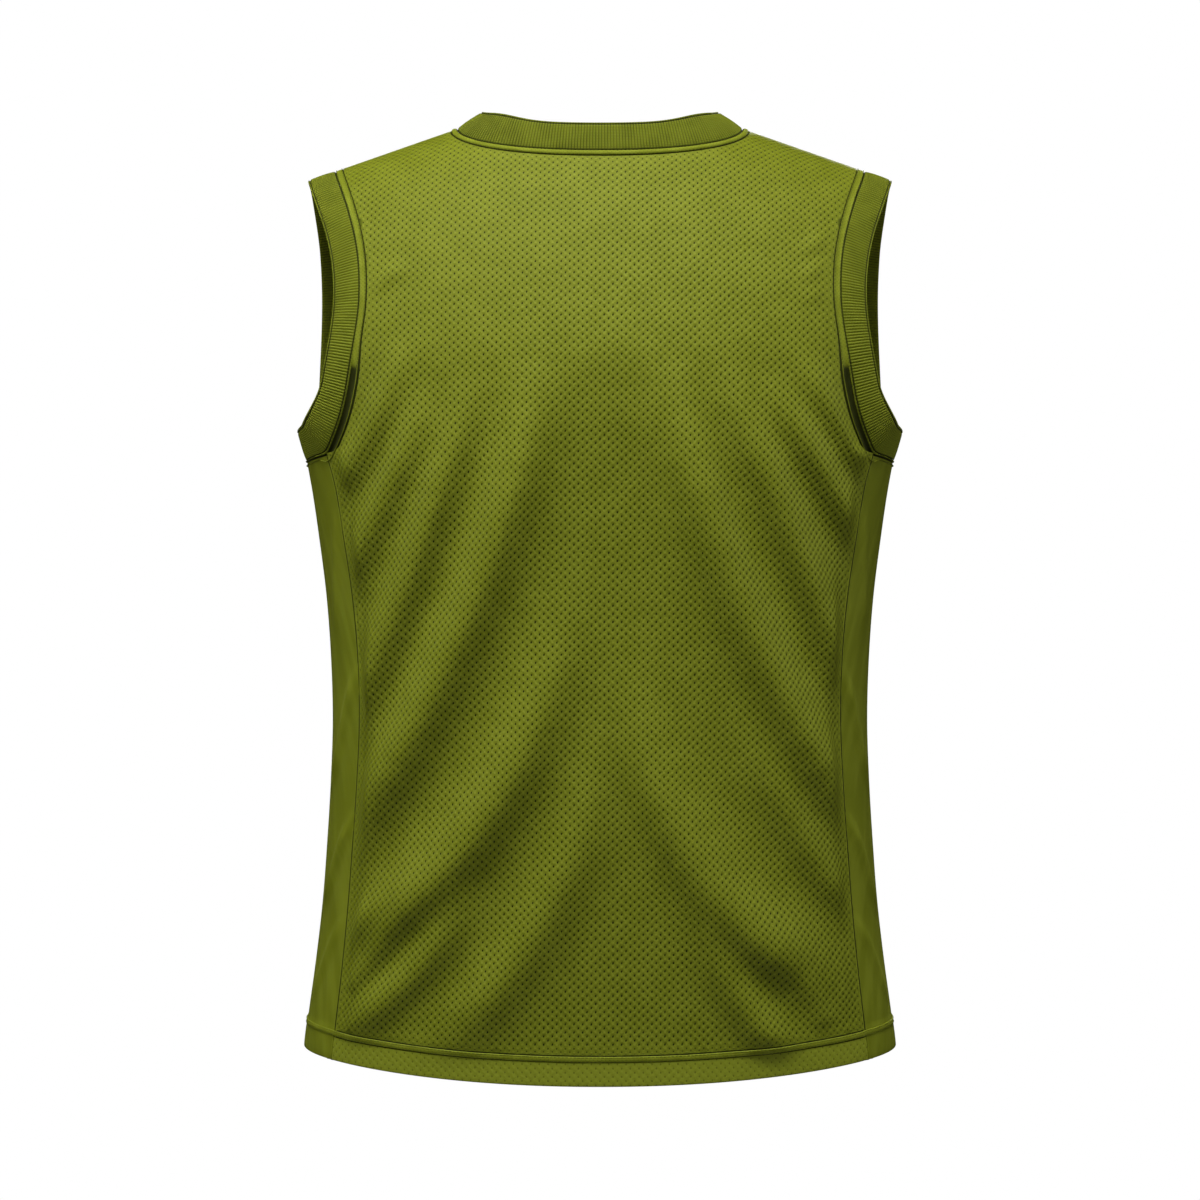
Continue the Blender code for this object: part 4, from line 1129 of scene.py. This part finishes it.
class Nodes:
    """Short calls for building one material's nodes."""

    def __init__(self, name):
        self.material = bpy.data.materials.new(name)
        self.material.use_nodes = True
        self.tree = self.material.node_tree
        self.shader = self.tree.nodes["Principled BSDF"]

    def put(self, socket, value):
        if isinstance(value, bpy.types.NodeSocket):
            self.tree.links.new(value, socket)
        elif value is not None:
            socket.default_value = value

    def node(self, kind, *inputs, **settings):
        made = self.tree.nodes.new(kind)
        for key, value in settings.items():
            setattr(made, key, value)
        for index, value in enumerate(inputs):
            self.put(made.inputs[index], value)
        return made

    def math(self, operation, a, b=None):
        return self.node("ShaderNodeMath", a, b, operation=operation).outputs[0]

    def times(self, a, b):
        return self.math("MULTIPLY", a, b)

    def plus(self, a, b):
        return self.math("ADD", a, b)

    def blend(self, share, a, b):
        """Colour a, with this share of colour b."""
        made = self.node("ShaderNodeMix", data_type="RGBA")
        for index, value in ((0, share), (6, a), (7, b)):
            self.put(made.inputs[index], value)
        return made.outputs[2]

    def between(self, value, low, high, to_low=0.0, to_high=1.0):
        """A smooth step from to_low to to_high as the value goes from low to high."""
        made = self.node("ShaderNodeMapRange", value, low, high, to_low, to_high)
        made.interpolation_type = "SMOOTHSTEP"
        return made.outputs[0]

    def cloth_place(self):
        """The place on the cloth in metres, and its parts across and up."""
        place = self.node("ShaderNodeUVMap", uv_map="cloth")
        parts = self.node("ShaderNodeSeparateXYZ", place.outputs[0])
        return place.outputs[0], parts.outputs[0], parts.outputs[1]

    def wave(self, value, length):
        return self.math("COSINE", self.times(value, 2 * math.pi / length))

    def noise(self, vector, scale):
        made = self.node("ShaderNodeTexNoise")
        self.put(made.inputs["Vector"], vector)
        self.put(made.inputs["Scale"], scale)
        return made.outputs[0]

    def grain(self, u, v, lean):
        """Noise drawn out along one diagonal of the cloth."""
        along = self.plus(u, self.times(v, lean))
        beside = self.math("SUBTRACT", u, self.times(v, lean))
        where = self.node("ShaderNodeCombineXYZ", self.times(along, STREAK), beside)
        return self.noise(where.outputs[0], GRAIN)

    def painted_shade_and_light(self):
        """Painted shade at each point in the sewing's folds,
        -1 where the cloth is double and painted lighter.
        """
        return self.node("ShaderNodeAttribute", attribute_name="painted_shade_and_light").outputs["Fac"]

    def finish(self, colour, relief, roughness, sheen, depth):
        """The material in this colour, with a fine relief that is so many metres deep."""
        bump = self.node("ShaderNodeBump")
        self.put(bump.inputs["Distance"], depth)
        self.put(bump.inputs["Height"], relief)
        inputs = self.shader.inputs
        self.put(inputs["Normal"], bump.outputs[0])
        self.put(inputs["Base Color"], colour)
        self.put(inputs["Roughness"], roughness)
        inputs["Sheen Weight"].default_value = sheen
        inputs["Sheen Roughness"].default_value = SHEEN_ROUGHNESS
        inputs["Sheen Tint"].default_value = SHEEN_TINT
        inputs["Specular IOR Level"].default_value = SPECULAR
        inputs["Specular Tint"].default_value = SPECULAR_TINT
        return self.material


def mesh_material(name, hole_shade_share, inside_shade_share):
    """Eyelet mesh: painted highlights on the crossings, painted shade round the holes,
    fine uneven knit between.

    The painted shade round the holes is scaled by the first share, and the whole is
    darkened by the second, painted shade for the garment's inside. Where the cloth is
    turned double it is painted lighter, and the painted shade round its holes is weaker.
    """
    n = Nodes(name)
    place, u, v = n.cloth_place()
    grain = n.plus(n.grain(u, v, 1.0), n.grain(u, v, -1.0))
    field = n.times(n.wave(u, REPEAT_ACROSS), n.wave(v, REPEAT_UP))
    upright = n.times(field, n.math("ABSOLUTE", n.wave(u, REPEAT_ACROSS)))
    rim = n.between(upright, *RIM)
    crossing = n.between(field, *CROSSING)
    cloud = n.noise(place, MESH_CLOUD)
    colour = n.blend(n.between(cloud, *CLOUDY, 0.0, 0.35), OLIVE, OLIVE_LIGHT)
    colour = n.blend(n.between(grain, 0.75, 1.25, 0.30, 0.0), colour, OLIVE_DARK)
    # Painted highlight on the threads' crossings.
    colour = n.blend(n.times(crossing, 0.65), colour, OLIVE_LIGHT)
    # The turned hem is painted lighter, and the painted shade round its holes weaker: painted light.
    hem_painted_light = n.times(n.painted_shade_and_light(), -1.0)
    colour = n.blend(n.times(hem_painted_light, 0.85), colour, OLIVE_LIGHT)
    rim = n.times(rim, n.math("SUBTRACT", 1.0, n.times(hem_painted_light, 0.45)))
    # Painted shade over the whole, darker for the garment's inside.
    colour = n.blend(inside_shade_share, colour, OLIVE_DARK)
    # Painted shade round each eyelet.
    colour = n.blend(n.times(rim, hole_shade_share), colour, PAINTED_SHADE)
    knit = n.times(n.times(n.wave(u, WALE), n.wave(v, COURSE)), 0.12)
    knit = n.plus(knit, n.times(grain, 0.5))
    relief = n.math("SUBTRACT", knit, n.times(field, 0.25))
    return n.finish(colour, relief, *MESH_FINISH)


def side_material():
    """Smooth knit: fine wales with soft diagonal streaks, in the relief and as painted highlights.
    """
    n = Nodes("side_knit")
    _, u, v = n.cloth_place()
    slant = n.plus(n.times(u, SIDE_SLANT[0]), n.times(v, SIDE_SLANT[1]))
    stretched = n.node("ShaderNodeCombineXYZ", slant, n.times(v, SIDE_STRETCH), 0.0)
    streak = n.noise(stretched.outputs[0], SIDE_CLOUD)
    # Lighter streaks: painted highlights.
    colour = n.blend(n.between(streak, 0.35, 0.70, 0.0, 0.7), OLIVE, OLIVE_LIGHT)
    colour = n.blend(0.12, colour, OLIVE_DARK)
    relief = n.plus(n.times(n.wave(u, WALE), 0.12), streak)
    return n.finish(colour, relief, *SIDE_FINISH)


def strip_material():
    """Folded mesh of the strips: smooth, faint holes in painted shade, and painted shade
    where it sinks in and in the seams' grooves.
    """
    n = Nodes("strip_knit")
    place, u, v = n.cloth_place()
    holes = n.times(n.wave(u, REPEAT_UP / 2), n.wave(v, STRIP / 2))
    cloud = n.noise(place, STRIP_CLOUD)
    colour = n.blend(n.between(cloud, *CLOUDY, 0.1, 0.6), OLIVE, OLIVE_LIGHT)
    # Faint holes painted darker: painted shade.
    colour = n.blend(n.between(holes, 0.45, 1.0, 0.0, 0.45), colour, OLIVE_DARK)
    # Painted shade where the strip sinks in and in the seams' grooves.
    colour = n.blend(n.between(n.painted_shade_and_light(), 0.15, 0.5, 0.0, 0.95), colour, PAINTED_SHADE)
    relief = n.plus(n.times(n.wave(u, WALE), 0.2), cloud)
    return n.finish(colour, relief, *STRIP_FINISH)


def rib_material(name, groove, ridge):
    """Rib knit: stitches along each rib over the modelled ribs, painted shade in the grooves."""
    n = Nodes(name)
    place, u, v = n.cloth_place()
    rib = n.math("ABSOLUTE", n.wave(u, 2 * RIB_PITCH))
    # Painted shade in the grooves between ribs: groove and ridge are the shares of plain colour left
    # there.
    colour = n.blend(n.between(rib, 0.15, 0.7, groove, ridge), OLIVE_DARK, OLIVE)
    stitch = n.wave(v, RIB_STITCH)
    cloud = n.noise(place, RIB_CLOUD)
    colour = n.blend(n.between(cloud, *CLOUDY, 0.0, 0.20), colour, OLIVE_LIGHT)
    # Painted shade in the seams' folds and on the band's inside.
    colour = n.blend(n.between(n.painted_shade_and_light(), 0.2, 0.9, 0.0, 0.90), colour, PAINTED_SHADE)
    return n.finish(colour, n.times(stitch, rib), *RIB_FINISH)


def thread_material():
    """Twisted sewing thread, painted darker than the cloth and darker along its twist: painted
    shade.
    """
    n = Nodes("thread")
    _, along, number = n.cloth_place()
    twist = n.plus(n.times(along, THREAD_TWIST), number)
    shade = n.between(n.math("SINE", twist), -1.0, 1.0, 0.1, 0.6)
    # Painted shade along the twist and over the whole thread.
    colour = n.blend(shade, OLIVE_DARK, OLIVE)
    return n.finish(colour, shade, *THREAD_FINISH)


def floor_material():
    n = Nodes("pale_floor")
    place = n.node("ShaderNodeTexCoord").outputs["Object"]
    shade = n.between(n.noise(place, FLOOR_CLOUD), 0.0, 1.0, *FLOOR_SHADES)
    colour = n.node("ShaderNodeCombineColor", shade, shade, shade).outputs[0]
    n.put(n.shader.inputs["Base Color"], colour)
    n.shader.inputs["Roughness"].default_value = FLOOR_ROUGHNESS
    return n.material


# ---- studio ----
# Name, place, size, watts, height aimed at, and spread in degrees.
LIGHTS = (
    ("key", (0.10, 1.02, 1.50), (1.0, 0.5), 5.2, -0.88, 60),
    ("side_left", (1.40, 0.45, 0.50), (0.6, 1.0), 6.5, -0.36, 180),
    ("side_right", (-1.50, 0.20, 0.30), (0.6, 1.0), 4.0, -0.36, 180),
    ("back_fill", (0.0, 2.60, -0.20), (1.5, 1.5), 5.0, -0.44, 180),
    ("front_key", (-0.30, -1.90, 0.40), (1.1, 0.8), 26.0, -0.36, 180),
)
AMBIENT = 0.006
FLOOR_Z = -2.0
FLOOR_SIZE = 5.0


def aim(item, target):
    item.rotation_euler = (Vector(target) - item.location).to_track_quat("-Z", "Y").to_euler()


def area_light(name, place, size, watts, height, spread):
    light = bpy.data.lights.new(name, "AREA")
    light.shape = "RECTANGLE"
    light.size, light.size_y = size
    light.energy = watts
    light.spread = math.radians(spread)
    item = bpy.data.objects.new(name, light)
    item.location = place
    aim(item, (0.0, 0.0, height))
    bpy.context.scene.collection.objects.link(item)


def build_camera():
    camera = bpy.data.cameras.new("camera")
    camera.sensor_width = 1000 * SENSOR
    camera.lens = 1000 * SENSOR * CAMERA_DISTANCE / FRAME_SIDE
    item = bpy.data.objects.new("camera", camera)
    item.location = (0.0, CAMERA_DISTANCE, CAMERA_Z)
    aim(item, (0.0, 0.0, CAMERA_Z))
    bpy.context.scene.collection.objects.link(item)
    bpy.context.scene.camera = item


def build_world():
    """Dim even light from all round, on a white background."""
    world = bpy.data.worlds.new("studio")
    bpy.context.scene.world = world
    world.use_nodes = True
    nodes, links = world.node_tree.nodes, world.node_tree.links
    soft = nodes["Background"]
    soft.inputs[0].default_value = (1.0, 1.0, 1.0, 1.0)
    soft.inputs[1].default_value = AMBIENT
    white = nodes.new("ShaderNodeBackground")
    white.inputs[0].default_value = (1.0, 1.0, 1.0, 1.0)
    mix = nodes.new("ShaderNodeMixShader")
    path = nodes.new("ShaderNodeLightPath")
    links.new(path.outputs["Is Camera Ray"], mix.inputs[0])
    links.new(soft.outputs[0], mix.inputs[1])
    links.new(white.outputs[0], mix.inputs[2])
    links.new(mix.outputs[0], nodes["World Output"].inputs[0])
    bpy.context.scene.view_settings.view_transform = "Standard"


def build_studio():
    build_camera()
    build_world()
    for light in LIGHTS:
        area_light(*light)
    bpy.ops.mesh.primitive_plane_add(size=FLOOR_SIZE, location=(0.0, 0.0, FLOOR_Z))
    floor = bpy.context.object
    floor.name = "floor"
    floor.data.materials.append(floor_material())


def dress(piece, slot, *nodes):
    """Attaches a piece to the root and hides the nodes it stands for. slot is not used."""
    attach(piece, "root")
    if nodes:
        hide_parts(*nodes)


def dress_panels(eyelets, inside, knit, folded):
    for side in (1, -1):
        lattice = Lattice(side)
        dress(build_panel(side, lattice, eyelets), "mesh", side_word(side) + "_panel")
        dress(build_inner(side, lattice, inside), "mesh")
    for sign in (1, -1):
        dress(build_side(sign, knit), "side_knit", "side_panel_" + hand(sign))
        for side in (1, -1):
            name = side_word(side) + "_seam_" + hand(sign)
            for end, line in (("", side_seam(sign, side)), ("_hem", second_seam(sign, side))):
                ridge = Strip(Seam(line), SEAM, SEAM_WIDTH)
                dress(ridge.build(name + end, folded), "side_knit")


def dress_armholes(rib, folded, thread):
    for sign in (1, -1):
        loop = Loop(armhole_loop(sign), ARMHOLE_BLUR)
        flare = armband_flare(loop.points)
        reach = armband_reach(loop.points, sign)
        band = build_band("armband_knit_" + hand(sign), loop, ARMBAND_WIDTH, flare, reach, rib)
        dress(band, "rib", "armband_" + hand(sign))
        strip = armhole_strip(loop)
        dress(strip.build("armhole_strip_" + hand(sign), folded), "mesh")
        rows = [(strip.grid[i], loop.normals) for i in ARMHOLE_STITCHES]
        dress(build_stitches("armhole_stitches_" + hand(sign), rows, thread), "mesh")
        dress(build_shoulder_strip(sign, folded), "mesh")


def dress_neck(rib, folded, thread):
    loop = Loop(neck_loop(), NECK_BLUR)
    place, spread = COLLAR_CORNER
    higher = COLLAR_REACH * np.exp(-(((np.abs(loop.points[:, 0]) - place) / spread) ** 2))
    reach = higher[:, None] * np.array([0.0, 0.0, 1.0])
    band = build_band("collar_knit", loop, COLLAR_HEIGHT, COLLAR_LEAN, reach, rib)
    dress(band, "rib", "collar")
    strip = Strip(loop, ROLL)
    dress(strip.build("neck_strip", folded), "mesh")
    rows = [(strip.grid[i], loop.normals) for i in NECK_STITCHES]
    dress(build_stitches("neck_stitches", rows, thread), "mesh")


def dress_hem(folded, thread):
    line = hem_loop(HEM_HEIGHT)
    upward = (line - hem_loop(HEM_HEIGHT - STRIP))[:, :3] / STRIP
    loop = Loop(line, HEM_BLUR, upward)
    strip = Strip(loop, TAPE)
    dress(strip.build("hem_strip", folded), "mesh")
    rows = [(strip.grid[i], loop.normals) for i in HEM_STITCHES]
    dress(build_stitches("hem_stitches", rows, thread), "mesh")


def main():
    build_studio()
    eyelets = mesh_material("eyelet_mesh", 0.85, 0.0)
    # The inside's copy is painted darker all over: painted shade.
    inside = mesh_material("eyelet_mesh_inside_shaded", 1.0, 0.85)
    folded, thread = strip_material(), thread_material()
    dress_panels(eyelets, inside, side_material(), folded)
    dress_armholes(rib_material("armband_rib", 0.22, 0.90), folded, thread)
    # The collar's copy is painted darker all over than the armbands': painted shade.
    dress_neck(rib_material("collar_rib_shaded", 0.0, 0.72), folded, thread)
    dress_hem(folded, thread)


main()
